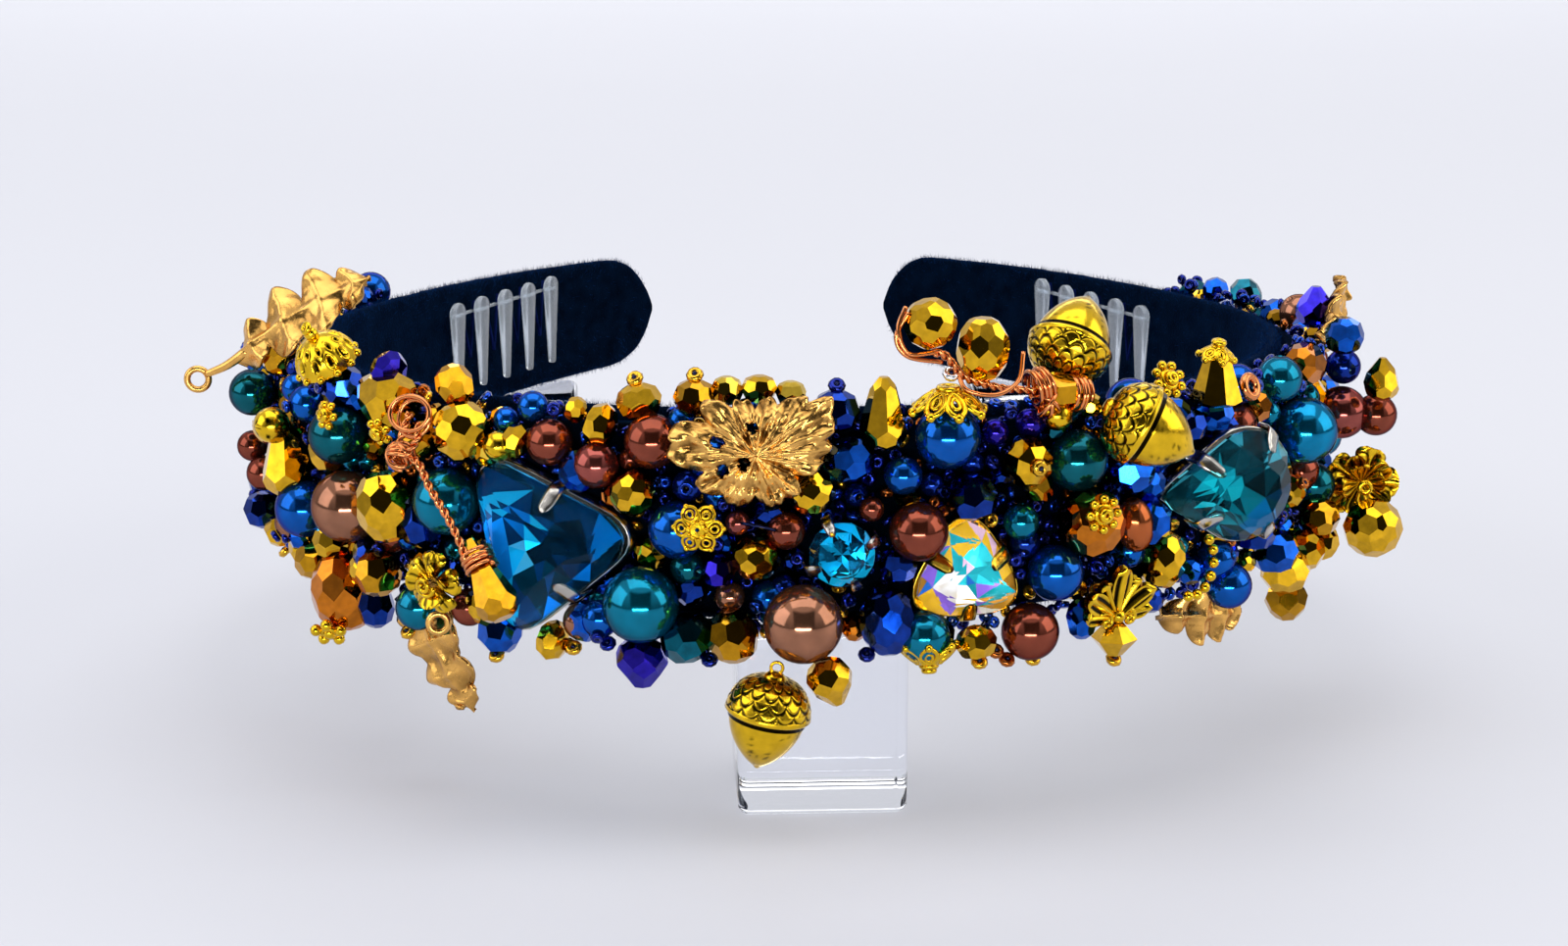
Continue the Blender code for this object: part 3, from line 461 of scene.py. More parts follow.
def drilled_ball(diameter, sides, rings):
    """A pearl with its drill hole at both ends, the inside of the hole painted dark as shade."""
    radius = diameter / 2
    rim = math.asin(min(0.6, DRILL_HOLE / radius))
    profile = []
    for i in range(rings + 1):
        tilt = rim + (math.pi - 2 * rim) * i / rings
        profile.append((radius * math.sin(tilt), -radius * math.cos(tilt)))
    deep = radius * 0.6
    inside = DRILL_HOLE * 0.85
    profile = [(0.0, -deep), (inside, -deep)] + profile + [(inside, deep), (0.0, deep)]
    return lathe(profile, sides, painted_shade_below=DRILL_HOLE * 0.9)


def seed_bead(width):
    """A rocaille: a short cut of glass tube with fire-rounded edges."""
    return torus(width * 0.29, width * 0.21, 10, 6, 1.15)


# Pieces: each a mesh of tinted copies

class Piece:
    """Shapes gathered into one object, with a tint for each point."""

    def __init__(self, name, finish, slot, *nodes):
        self.name, self.finish, self.slot, self.nodes = name, finish, slot, nodes
        self.points, self.faces, self.tints, self.smooth = [], [], [], []
        self.count = 0

    def add(self, one, place=None, tint="clear", patina_and_shade_tint="patina_and_shade"):
        if place is not None:
            one = placed(one, place)
        # The darkened points take the dark colour: patina in the castings, painted shade in holes,
        # folds and creases
        clean, patina_and_shade_colour = np.array(linear(DYES[tint])), np.array(linear(DYES[patina_and_shade_tint]))
        share = one.wear[:, None]
        self.tints.append(clean * (1 - share) + patina_and_shade_colour * share)
        self.points.append(one.points)
        self.faces += [tuple(i + self.count for i in f) for f in one.faces]
        self.smooth += [one.smooth] * len(one.faces)
        self.count += len(one.points)

    def make(self):
        mesh = bpy.data.meshes.new(self.name)
        mesh.from_pydata((np.vstack(self.points) * MM).tolist(), [], self.faces)
        mesh.polygons.foreach_set("use_smooth", self.smooth)
        dye = mesh.attributes.new("tint", "FLOAT_COLOR", "POINT")
        dye.data.foreach_set("color", np.vstack(self.tints).astype(np.float32).ravel())
        mesh.materials.append(self.finish)
        mesh.update()
        made = bpy.data.objects.new(self.name, mesh)
        bpy.context.scene.collection.objects.link(made)
        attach(made, BODY)
        if self.nodes:
            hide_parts(*self.nodes)
        made.visible_shadow = self.finish not in CLEAR_FINISHES
        return made


def single(name, finish, slot, one, place, tint, nodes, patina_and_shade_tint="patina_and_shade"):
    """A piece of one shape."""
    piece = Piece(name, finish, slot, *nodes)
    piece.add(one, place, tint, patina_and_shade_tint)
    return piece.make()


# Finishes

def add_node(tree, kind, settings=None, links=None):
    """Add a node, with its settings and the sockets that feed it."""
    made = tree.nodes.new(kind)
    for key, value in (settings or {}).items():
        if isinstance(key, str) and hasattr(made, key):
            setattr(made, key, value)
        else:
            made.inputs[key].default_value = value
    for key, source in (links or {}).items():
        tree.links.new(source, made.inputs[key])
    return made


def start_finish(name):
    finish = bpy.data.materials.new(name)
    finish.use_nodes = True
    finish.node_tree.nodes.clear()
    return finish, finish.node_tree


def end_finish(tree, shader):
    add_node(tree, "ShaderNodeOutputMaterial", {}, {"Surface": shader.outputs[0]})


def grain(tree, size_mm, detail=2.0):
    """Noise whose marks are about size_mm across, on the object's own coordinates."""
    spots = add_node(tree, "ShaderNodeTexCoord")
    return add_node(tree, "ShaderNodeTexNoise", {"Scale": 1 / (size_mm * MM), "Detail": detail},
                    {"Vector": spots.outputs["Object"]})


def tinted(tree, source, darkest, lightest):
    """The tint of each copy, made darker and lighter by a grain."""
    tint = add_node(tree, "ShaderNodeAttribute", {"attribute_name": "tint"})
    shade = add_node(tree, "ShaderNodeMapRange",
                     {"From Min": 0.3, "From Max": 0.7, "To Min": darkest, "To Max": lightest},
                     {"Value": source})
    return add_node(tree, "ShaderNodeVectorMath", {"operation": "MULTIPLY"},
                    {0: tint.outputs["Color"], 1: shade.outputs[0]})


def relief(tree, source, depth_mm):
    return add_node(tree, "ShaderNodeBump", {"Strength": 1.0, "Distance": depth_mm * MM},
                    {"Height": source})


def pearl_lacquer():
    """Glass pearl: a ball dipped in many coats of mica lacquer.

    The mica lies flat under a clear top coat, so the colour glows like metal and the lamp
    shows as one crisp white mark.
    """
    finish, tree = start_finish("mica pearl lacquer on glass")
    cloud = grain(tree, 2.5)
    colour = tinted(tree, cloud.outputs[0], 0.85, 1.15)
    skin = relief(tree, grain(tree, 0.35).outputs[0], 0.004)
    end_finish(tree, add_node(tree, "ShaderNodeBsdfPrincipled", {
        "Metallic": 0.9, "Roughness": 0.12, "Coat Weight": 0.15, "Coat Roughness": 0.03,
        "Specular Tint": linear("707888"),
    }, {"Base Color": colour.outputs[0], "Normal": skin.outputs[0]}))
    return finish


def mirror_glass(name, roughness, dark, light):
    """Cut glass with a vacuum metal coat: each polished flat is a small coloured mirror."""
    finish, tree = start_finish(name)
    cloud = grain(tree, 1.2)
    colour = tinted(tree, cloud.outputs[0], dark, light)
    end_finish(tree, add_node(tree, "ShaderNodeBsdfPrincipled", {
        "Metallic": 1.0, "Roughness": roughness, "Coat Weight": 0.08, "Coat Roughness": 0.02,
    }, {"Base Color": colour.outputs[0]}))
    return finish


def iris_glass():
    """Dark blue cut glass with a thin iris coat, which adds a glassy glint to each flat."""
    finish, tree = start_finish("iris coated cut glass")
    colour = tinted(tree, grain(tree, 1.5).outputs[0], 0.7, 1.2)
    end_finish(tree, add_node(tree, "ShaderNodeBsdfPrincipled", {
        "Metallic": 1.0, "Roughness": 0.08, "Coat Weight": 0.15, "Coat Roughness": 0.02,
    }, {"Base Color": colour.outputs[0]}))
    return finish


def rocaille_glass():
    """Drawn glass seed beads, fire polished: rounded, glossy and a little uneven in dye."""
    finish, tree = start_finish("fire polished seed glass")
    colour = tinted(tree, grain(tree, 1.0).outputs[0], 0.8, 1.2)
    end_finish(tree, add_node(tree, "ShaderNodeBsdfPrincipled", {
        "Metallic": 0.95, "Roughness": 0.12, "Coat Weight": 0.25, "Coat Roughness": 0.03,
    }, {"Base Color": colour.outputs[0]}))
    return finish


def clear_stone(name, hue, gloss):
    """Cut lead glass, polished: light passes through the crown to the foil behind it.

    The dye also colours what the flats mirror, and the glass is drawn thinner than lead glass
    is, so that no grey veil lies over the stone.
    """
    finish, tree = start_finish(name)
    end_finish(tree, add_node(tree, "ShaderNodeBsdfPrincipled", {
        "Base Color": linear(hue), "Roughness": 0.0, "IOR": 1.30, "Transmission Weight": 1.0,
        "Specular IOR Level": 0.3, "Specular Tint": linear(gloss),
    }))
    return finish


def foil_back():
    """Painted foil on the back of a stone: bright flats, each at its own slant and colour. The tints
    of the flats are painted light and shade, lighter where the stone looks lit and darker where it
    looks shaded, with white flats as painted glints.
    """
    finish, tree = start_finish("foil behind cut glass")
    tint = add_node(tree, "ShaderNodeAttribute", {"attribute_name": "tint"})
    end_finish(tree, add_node(tree, "ShaderNodeBsdfPrincipled", {
        "Metallic": 0.6, "Roughness": 0.25,
    }, {"Base Color": tint.outputs["Color"]}))
    return finish


def worked_metal(name, roughness, grit_mm, grit_depth, dark, light):
    """Stamped or cast metal: soft reflections, broken up by a fine pebbled skin."""
    finish, tree = start_finish(name)
    grit = grain(tree, grit_mm, 3.0)
    colour = tinted(tree, grain(tree, grit_mm * 4).outputs[0], dark, light)
    skin = relief(tree, grit.outputs[0], grit_depth)
    rough = add_node(tree, "ShaderNodeMapRange",
                     {"To Min": roughness * 0.7, "To Max": roughness * 1.4},
                     {"Value": grit.outputs[0]})
    end_finish(tree, add_node(tree, "ShaderNodeBsdfPrincipled", {"Metallic": 1.0}, {
        "Base Color": colour.outputs[0], "Roughness": rough.outputs[0],
        "Normal": skin.outputs[0]}))
    return finish


def velvet_pile():
    """Cotton velvet, woven as loops and cut: it drinks light face on and glows blue at the edge.

    The pile is about 0.1 mm across, and is drawn at 0.4 mm so that it shows.
    """
    finish, tree = start_finish("navy cotton velvet")
    pile = grain(tree, 0.4, 3.0)
    colour = tinted(tree, grain(tree, 3.0).outputs[0], 0.6, 1.5)
    skin = relief(tree, pile.outputs[0], 0.15)
    end_finish(tree, add_node(tree, "ShaderNodeBsdfPrincipled", {
        "Roughness": 0.95, "Specular IOR Level": 0.01, "Sheen Weight": 0.3,
        "Sheen Roughness": 0.35, "Sheen Tint": linear("0E4C9C"),
    }, {"Base Color": colour.outputs[0], "Normal": skin.outputs[0]}))
    return finish


def clear_plastic(name, hue, roughness, clearness):
    """Moulded or cast clear plastic, with the faint waves of a cooled surface."""
    finish, tree = start_finish(name)
    skin = relief(tree, grain(tree, 6.0).outputs[0], 0.02)
    end_finish(tree, add_node(tree, "ShaderNodeBsdfPrincipled", {
        "Base Color": linear(hue), "Roughness": roughness, "IOR": 1.49,
        "Transmission Weight": clearness,
    }, {"Normal": skin.outputs[0]}))
    return finish


PEARL = pearl_lacquer()
GOLD_GLASS = mirror_glass("gold coated cut glass", 0.05, 0.8, 1.1)
IRIS_GLASS = iris_glass()
SEED_GLASS = rocaille_glass()
TEAL_CROWN = clear_stone("teal cut glass", "54BCCC", "042C38")
BLUE_CROWN = clear_stone("blue cut glass", "60CCF4", "042848")
CLEAR_CROWN = clear_stone("clear cut glass", "FFFFFF", "8090A0")
FOIL = foil_back()
RAW_BRASS = worked_metal("raw stamped brass", 0.24, 0.5, 0.03, 0.85, 1.2)
ANTIQUE_GOLD = worked_metal("antiqued gilt casting", 0.16, 0.5, 0.02, 0.85, 1.15)
COPPER = worked_metal("drawn copper wire", 0.16, 0.4, 0.005, 0.9, 1.1)
PRESSED_STEEL = worked_metal("pressed silver coloured metal", 0.2, 0.6, 0.01, 0.85, 1.1)
VELVET = velvet_pile()
COMB_PLASTIC = clear_plastic("moulded comb plastic", "E4ECF4", 0.18, 0.85)
ACRYLIC = clear_plastic("cast acrylic", "F8FAFF", 0.01, 1.0)
CLEAR_FINISHES = (TEAL_CROWN, BLUE_CROWN, CLEAR_CROWN, COMB_PLASTIC, ACRYLIC)


# Studio: camera, pale floor, room and lamps

def set_camera():
    view = bpy.data.cameras.new("camera")
    view.lens = CAMERA_LENS
    view.clip_start = 0.01
    camera = bpy.data.objects.new("camera", view)
    camera.location = Vector(CAMERA_PLACE) * MM
    camera.rotation_euler = (math.radians(CAMERA_TILT), 0.0, math.radians(CAMERA_TURN))
    bpy.context.scene.collection.objects.link(camera)
    bpy.context.scene.camera = camera
    bpy.context.scene.view_settings.view_transform = "Standard"


def lay_floor():
    finish, tree = start_finish("pale satin paper sheet")
    colour = add_node(tree, "ShaderNodeMapRange",
                      {"To Min": 0.985, "To Max": 1.0},
                      {"Value": grain(tree, 160.0).outputs[0]})
    tint = add_node(tree, "ShaderNodeVectorMath",
                    {"operation": "MULTIPLY", 0: linear("D2D3DA")[:3]}, {1: colour.outputs[0]})
    end_finish(tree, add_node(tree, "ShaderNodeBsdfPrincipled", {"Roughness": 0.6},
                              {"Base Color": tint.outputs[0]}))
    mesh = bpy.data.meshes.new("floor")
    span = 6.0
    mesh.from_pydata([(-span, -span, 0), (span, -span, 0), (span, span, 0), (-span, span, 0)],
                     [], [(0, 1, 2, 3)])
    mesh.materials.append(finish)
    floor = bpy.data.objects.new("floor", mesh)
    bpy.context.scene.collection.objects.link(floor)


ROOM_CEILING = 0.80
ROOM_WALLS = 0.20
ROOM_BACK = 0.75
ROOM_GAP = 0.02


def light_room():
    """A room with a pale ceiling and backdrop, darker walls, and a dark gap above the lamp."""
    world = bpy.data.worlds.new("studio room")
    world.use_nodes = True
    bpy.context.scene.world = world
    tree = world.node_tree
    tree.nodes.clear()
    spots = add_node(tree, "ShaderNodeTexCoord")
    axes = add_node(tree, "ShaderNodeSeparateXYZ", {}, {0: spots.outputs["Generated"]})
    ahead = add_node(tree, "ShaderNodeMapRange",
                     {"From Min": -0.35, "From Max": -0.45}, {"Value": axes.outputs["Y"]})
    below = add_node(tree, "ShaderNodeMapRange",
                     {"From Min": 0.82, "From Max": 0.74}, {"Value": axes.outputs["Z"]})
    width = add_node(tree, "ShaderNodeMath", {"operation": "ABSOLUTE"},
                     {0: axes.outputs["X"]})
    between = add_node(tree, "ShaderNodeMapRange",
                       {"From Min": 0.56, "From Max": 0.46}, {"Value": width.outputs[0]})
    shade = add_node(tree, "ShaderNodeMath", {"operation": "MULTIPLY"},
                     {0: ahead.outputs[0], 1: below.outputs[0]})
    shade = add_node(tree, "ShaderNodeMath", {"operation": "MULTIPLY"},
                     {0: shade.outputs[0], 1: between.outputs[0]})
    backdrop = add_node(tree, "ShaderNodeMapRange", {
        "From Min": 0.15, "From Max": 0.60, "To Min": ROOM_WALLS, "To Max": ROOM_BACK,
    }, {"Value": axes.outputs["Y"]})
    walls = add_node(tree, "ShaderNodeMapRange", {
        "From Min": 0.05, "From Max": 0.75, "To Max": ROOM_CEILING,
    }, {"Value": axes.outputs["Z"], "To Min": backdrop.outputs[0]})
    glow = add_node(tree, "ShaderNodeMapRange", {"To Max": ROOM_GAP},
                    {"Value": shade.outputs[0], "To Min": walls.outputs[0]})
    sky = add_node(tree, "ShaderNodeBackground", {"Color": linear("F2F3F8")},
                   {"Strength": glow.outputs[0]})
    add_node(tree, "ShaderNodeOutputWorld", {}, {"Surface": sky.outputs[0]})


Lamp = namedtuple("Lamp", "name place aim width height watts hue")
LAMPS = (
    Lamp("strip lamp", (-0.04, -0.70, 0.045), (0.0, 0.0, 0.045), 0.56, 0.05, 2.4, "FFFFFF"),
    Lamp("overhead softbox", (0.0, 0.05, 1.05), (0.0, 0.05, 0.0), 1.20, 0.90, 5.6, "FFFFFF"),
    Lamp("left softbox", (-0.90, -0.15, 0.45), (0.0, 0.02, 0.04), 0.80, 0.70, 3.4, "F8FAFF"),
    Lamp("right softbox", (0.90, -0.10, 0.45), (0.0, 0.02, 0.04), 0.80, 0.70, 3.4, "FFFCF4"),
    Lamp("back softbox", (0.0, 1.30, 0.80), (0.0, 1.50, 0.0), 2.40, 0.60, 11.0, "FFFFFF"),
)


def hang_lamps():
    for lamp in LAMPS:
        light = bpy.data.lights.new(lamp.name, "AREA")
        light.shape = "RECTANGLE"
        light.size, light.size_y = lamp.width, lamp.height
        light.energy = lamp.watts
        light.color = linear(lamp.hue)[:3]
        held = bpy.data.objects.new(lamp.name, light)
        held.location = lamp.place
        way = Vector(lamp.aim) - Vector(lamp.place)
        held.rotation_euler = way.to_track_quat("-Z", "Y").to_euler()
        held.visible_camera = False
        bpy.context.scene.collection.objects.link(held)


# Velvet band, its sewn ground, combs and blocks

BAND_SIDES = 36
BAND_RINGS = 190
TIP_DISTANCES = (0.0, 0.3, 0.8, 1.6, 2.6, 3.8, 5.2, 7.0, 9.0)
TIP_HALF = 1.2
PADDING_WAVE = 0.12
NAP_HAIRS = 26000
NAP_HALF_WIDTH = 0.035
NAP_SCATTER = 0.35


def band_section(half, angle):
    """Stand-off and rise of the padded section at an angle round its middle."""
    c, s = math.cos(angle), math.sin(angle)
    return (BAND_THICKNESS / 2 * math.copysign(abs(c) ** 0.55, c),
            half * math.copysign(abs(s) ** 0.72, s))


def band_ring(station, tip_distance):
    """Points round the band's padded section, drawn in near a tip to round its end."""
    height = band_height(station)
    half = height / 2
    if tip_distance < half:
        half = math.sqrt(max(0.0, half ** 2 - (half - tip_distance) ** 2))
    half = max(half, TIP_HALF)
    ring = []
    for i in range(BAND_SIDES):
        off, rise = band_section(half, TAU * i / BAND_SIDES)
        ring.append(on_band(station, height / 2 + rise, off))
    return ring


def velvet_nap():
    """Short hairs of the pile, most of them along the band's upper and lower edge, tinted a brighter
    blue than the velvet: a painted sheen along the edges.
    """
    chance = random.Random(4)
    points = []
    for _ in range(NAP_HAIRS):
        station = chance.uniform(-HALF_LENGTH + 1.0, HALF_LENGTH - 1.0)
        tip_distance = HALF_LENGTH - abs(station)
        height = band_height(station)
        half = height / 2
        if tip_distance < half:
            half = math.sqrt(max(0.3, half ** 2 - (half - tip_distance) ** 2))
        angle = chance.uniform(0, TAU) if chance.random() < 0.4 else (
            chance.choice((0.25, 0.75)) * TAU + chance.gauss(0, 0.30))
        off, rise = band_section(half, angle)
        root = on_band(station, height / 2 + rise, off)
        heading = band_plan(station)[2]
        c, s = math.cos(angle), math.sin(angle)
        out = Vector((math.sin(heading) * c, -math.cos(heading) * c, s))
        out += Vector([chance.gauss(0, NAP_SCATTER) for _ in range(3)])
        side = out.orthogonal().normalized() * NAP_HALF_WIDTH
        points += [root + side, root - side, root + out.normalized() * chance.uniform(0.3, 0.95)]
    return shape(points, [(i, i + 1, i + 2) for i in range(0, len(points), 3)])


def velvet_band():
    inner = HALF_LENGTH - TIP_DISTANCES[-1]
    runs = [(-HALF_LENGTH + t, t) for t in TIP_DISTANCES]
    runs += [(s, HALF_LENGTH) for s in np.linspace(-inner, inner, BAND_RINGS)[1:-1]]
    runs += [(HALF_LENGTH - t, t) for t in reversed(TIP_DISTANCES)]
    rows = [band_ring(s, t) for s, t in runs]
    for row in rows:
        for spot in row:
            spot += noise.noise_vector(spot * 0.35) * PADDING_WAVE
    body = web(rows, round_closed=True)
    last = len(body.points)
    ends = [tuple(range(BAND_SIDES)), tuple(reversed(range(last - BAND_SIDES, last)))]
    piece = Piece("velvet_band_pile", VELVET, "velvet", "velvet_band")
    piece.add(body._replace(faces=body.faces + ends), None, "velvet")
    # The hairs take a lighter blue than the velvet, a painted sheen
    piece.add(velvet_nap(), None, "velvet_hair_painted_sheen")
    made = piece.make()


GROUND_MARGIN = 1.5
GROUND_BEVEL = 0.2


def sewn_ground():
    """The felt strip that the beads are sewn through, behind the beads of each half."""
    for name, side in (("left", -1), ("right", 1)):
        rows = []
        for station in np.linspace(0.2, GROUND_END, 60):
            top = band_height(station) - GROUND_MARGIN
            corners = ((GROUND_INNER, GROUND_MARGIN), (GROUND_OUTER, GROUND_MARGIN + GROUND_BEVEL),
                       (GROUND_OUTER, top - GROUND_BEVEL), (GROUND_INNER, top))
            rows.append([on_band(side * station, h, off) for off, h in corners])
        body = web(rows, round_closed=True)
        last = len(body.points)
        ends = [(0, 1, 2, 3), (last - 1, last - 2, last - 3, last - 4)]
        body = body._replace(faces=body.faces + ends)
        single("sewn_ground_" + name, VELVET, "velvet", body, None, "felt",
               ("bead_field_" + name,))


COMB_LENGTH = 33.0
COMB_DROP = 15.0
COMB_TEETH = 5
COMB_TOOTH_HALF = 2.3
COMB_TIP_HALF = 0.8
COMB_STAND_IN = 1.7
COMB_BELOW_TOP = 1.5
STITCH_DROP = 9.0


def comb_tooth(x):
    """A flat tooth with a rounded top, drawn down to a narrow tip."""
    rows = []
    for t in (1 - np.cos(np.linspace(0, math.pi, 31))) / 2:
        taper = COMB_TOOTH_HALF * (1 - t) + COMB_TIP_HALF * t
        end = min(1.0, t / 0.13, (1 - t) / 0.05)
        half = max(0.05, taper * math.sqrt(1 - (1 - end) ** 2))
        thick = min(0.55, half)
        rows.append([(x + half * math.cos(a), -0.1 - t * (COMB_DROP - 0.2), thick * math.sin(a))
                     for a in np.linspace(0, TAU, 15)[:-1]])
    return web(rows, round_closed=True)


def hair_comb(name, station):
    """A clear comb: flat tapered teeth on a thin spine, sewn on with crossing threads."""
    piece = Piece(name + "_moulding", COMB_PLASTIC, "comb_plastic", name)
    inward = -(BAND_THICKNESS / 2 + COMB_STAND_IN)
    place = seat(station, band_height(station) - COMB_BELOW_TOP, inward)
    pitch = COMB_LENGTH / COMB_TEETH
    middles = [(tooth - (COMB_TEETH - 1) / 2) * pitch for tooth in range(COMB_TEETH)]
    for x in middles:
        piece.add(comb_tooth(x), place)
    spine = [(x, -2.2, 0.5) for x in np.linspace(middles[0] - 1.2, middles[-1] + 1.2, 21)]
    piece.add(tube(spine, 0.3, 8), place)
    piece.make()
    stitch = Piece(name + "_stitches", VELVET, "velvet")
    for x in middles[:-1]:
        gap = x + pitch / 2
        for side in (-1, 1):
            thread = [(gap + side * 1.9 * (1 - t), -0.6 - STITCH_DROP * t, 0.62 - 0.5 * t)
                      for t in np.linspace(0, 1, 8)]
            stitch.add(tube(thread, 0.24, 6), place, "thread")
    stitch.make()


def stand_block(name, x, y):
    """A clear block, cast and sawn, with softly polished edges.

    A hair of air under it keeps its lower face a mirror, as it is in the photograph.
    """
    solid = bmesh.new()
    bmesh.ops.create_cube(solid, size=1.0)
    bmesh.ops.scale(solid, vec=(BLOCK_WIDTH, BLOCK_WIDTH, BLOCK_HEIGHT), verts=solid.verts)
    bmesh.ops.bevel(solid, geom=solid.edges, offset=BLOCK_EDGE, segments=6, profile=0.5,
                    affect="EDGES")
    solid.verts.index_update()
    block = shape([v.co for v in solid.verts], [[v.index for v in f.verts] for f in solid.faces])
    solid.free()
    made = single(name + "_acrylic", ACRYLIC, "acrylic", block,
                  shifted(x, y, BLOCK_HEIGHT / 2 + BLOCK_AIR), "clear", (name,))
    made.data.set_sharp_from_angle(angle=math.radians(50))


def stand_blocks():
    stand_block("stand_block_front", 0.0, 0.0)
    for name, side in (("stand_block_left", -1), ("stand_block_right", 1)):
        x, y, _ = band_plan(side * REAR_BLOCK_STATION)
        stand_block(name, x, y)


# Main pearls and cut beads, each in its solid's place

PearlLook = namedtuple("PearlLook", "node tint tilt")
PEARL_LOOKS = (
    PearlLook("pearl_teal_low", "teal", 60), PearlLook("pearl_bronze_low", "bronze", 80),
    PearlLook("pearl_bronze_mid", "brown", 70), PearlLook("pearl_blue_top", "blue", 0),
    PearlLook("pearl_blue_mid", "blue", 20), PearlLook("pearl_brown_top", "brown", 60),
    PearlLook("pearl_brown_small", "brown", -30), PearlLook("pearl_bronze_left", "bronze", 80),
    PearlLook("pearl_blue_left", "blue", 60), PearlLook("pearl_teal_left", "teal", 60),
    PearlLook("pearl_green_left", "green", 60), PearlLook("pearl_blue_right", "blue", 60),
    PearlLook("pearl_green_right", "green", 70), PearlLook("pearl_brown_low", "brown", 80),
    PearlLook("pearl_sky_right", "sky", 60), PearlLook("pearl_mauve_far", "mauve", 70),
)


def main_pearls():
    for look in PEARL_LOOKS:
        centre = node_centre(look.node)
        size = node_size(look.node)
        turn = Matrix.Rotation(math.radians(look.tilt), 4, "Y")
        slot = FRAME_SLOTS[look.node]
        single(look.node + "_lacquered", PEARL, slot, drilled_ball(size, 40, 26),
               Matrix.Translation(centre) @ turn, look.tint, (look.node,))


CutLook = namedtuple("CutLook", "node kind width length turn tint")
CUT_LOOKS = (
    CutLook("bead_blue_big", "fine", 7.0, 9.0, 8, "cut_navy"),
    CutLook("bead_gold_left_top", "fine", 7.4, 8.0, 20, "gold"),
    CutLook("bead_gold_teardrop", "drop", 7.2, 10.0, 75, "gold"),
    CutLook("bead_gold_oval_left", "fine", 7.8, 10.0, 15, "gold"),
    CutLook("bead_amber_left", "fine", 8.6, 11.4, 10, "amber"),
    CutLook("bead_gold_tear_top", "drop", 5.6, 9.8, 0, "gold"),
    CutLook("bead_gold_front_left", "fine", 5.8, 5.8, 30, "gold"),
    CutLook("bead_gold_front_top", "fine", 6.0, 6.0, 10, "gold"),
    CutLook("bead_gold_front_mid", "fine", 6.0, 6.0, 0, "gold"),
    CutLook("bead_amber_right", "fine", 9.0, 8.4, 80, "amber"),
    CutLook("bead_gold_right", "fine", 6.2, 7.8, -10, "gold"),
    CutLook("bead_gold_far", "fine", 8.0, 8.4, 70, "gold"),
)


def aligned(node, turn):
    """The place of a bead's solid: its box's centre, faced outwards and turned."""
    centre = node_centre(node)
    facing = seat(nearest_station(centre), 0.0, 0.0, turn).to_3x3().to_4x4()
    return Matrix.Translation(centre) @ facing @ UPRIGHT


def main_cut_beads():
    for look in CUT_LOOKS:
        finish = IRIS_GLASS if "blue" in look.node else GOLD_GLASS
        place = aligned(look.node, look.turn) @ spun(13.0)
        single(look.node + "_cut", finish, FRAME_SLOTS[look.node],
               cut_bead(look.kind, look.width, look.length), place, look.tint, (look.node,))


# Set stones

SetStone = namedtuple("SetStone", "name outline radius depth station height stand_off turn"
                                  " swing prongs rays foil seed")
TRILLIANT_SIDE = 0.64
TRILLIANT_POWER = 14
CRYSTAL_SIDE = 0.74
CRYSTAL_POWER = 7
PEAR_BULB = 0.72
PEAR_SHIFT = 0.28
GIRDLE_LEVEL = 0.30
STONE_LIFT = 1.0
SMALL_STONE = 6.0
CROWN_EDGE_TILT = math.radians(40.0)
CROWN_KITE_TILT = math.radians(60.0)
Foil = namedtuple("Foil", "heart inner middle rim glint", defaults=("foil_white",))


def foil_round(words):
    """Tints of the foil's flats, in order round the stone."""
    return tuple("foil_" + word for word in words.split())


# Each foil lays lighter and darker tints of its stone's colours round the stone, flat by flat:
# painted light and shade, with the white and pale flats as painted glints
BLUE_FOIL = Foil(foil_round("night night deep blue sky blue night night deep"),
                 foil_round("night deep night blue sky white deep night night"),
                 foil_round("deep night deep deep sky blue pine deep night"),
                 foil_round("night deep night deep blue sky deep night night"), "foil_blue")
TEAL_FOIL = Foil(foil_round("aqua teal aqua teal aqua"),
                 foil_round("teal pine aqua pine teal pine aqua teal pine pine"),
                 foil_round("pine ink pine teal ink pine pine ink teal ink"),
                 foil_round("ink pine ink ink deep ink pine ink blue deep"))
SKY_FOIL = Foil(foil_round("teal ink pine teal ink pine"),
                foil_round("pine sky ink teal pine teal ink teal"),
                foil_round("ink teal aqua pine teal ink pine sky"),
                foil_round("aqua ink sky ink pine aqua ink teal"))
RAINBOW_FOIL = Foil(foil_round("cyan cyan white cyan azure cyan cyan pink"),
                    foil_round("cyan pink cyan white cyan cyan pink cyan"),
                    foil_round("gold cyan azure white violet pink cyan gold"),
                    foil_round("gold violet bronze gold pale bronze gold pink bronze"))
FoilRing = namedtuple("FoilRing", "share level shift")
FOIL_RINGS = (FoilRing(0.26, 0.25, 0.0), FoilRing(0.60, 0.35, 0.5), FoilRing(0.97, 1.0, 0.0))
# Share of the rim flats given the glint tint: painted glints
GLINT_CHANCE = 0.10
NEXT_CHANCE = 0.25


def three_sided(angle, side, power):
    """Reach of a triangle with rounded corners, rounder with a lower power."""
    third = TAU / 3
    from_side = angle % third - third / 2
    return ((math.cos(from_side) / side) ** power + 1.0) ** (-1 / power)


def trilliant_outline(angle):
    return three_sided(angle, TRILLIANT_SIDE, TRILLIANT_POWER)


def rounded_trilliant_outline(angle):
    return three_sided(angle, CRYSTAL_SIDE, CRYSTAL_POWER)


def pear_outline(angle):
    away = abs((angle + math.pi) % TAU - math.pi)
    half_point = math.asin(PEAR_BULB / (1 + PEAR_SHIFT))
    normal = math.pi / 2 + half_point
    touch = math.atan2(PEAR_BULB * math.sin(normal), PEAR_SHIFT + PEAR_BULB * math.cos(normal))
    if away > touch:
        return math.sin(half_point) / math.cos(away - normal)
    across = PEAR_SHIFT * math.sin(away)
    return PEAR_SHIFT * math.cos(away) + math.sqrt(PEAR_BULB ** 2 - across ** 2)


def round_outline(angle):
    return 1.0


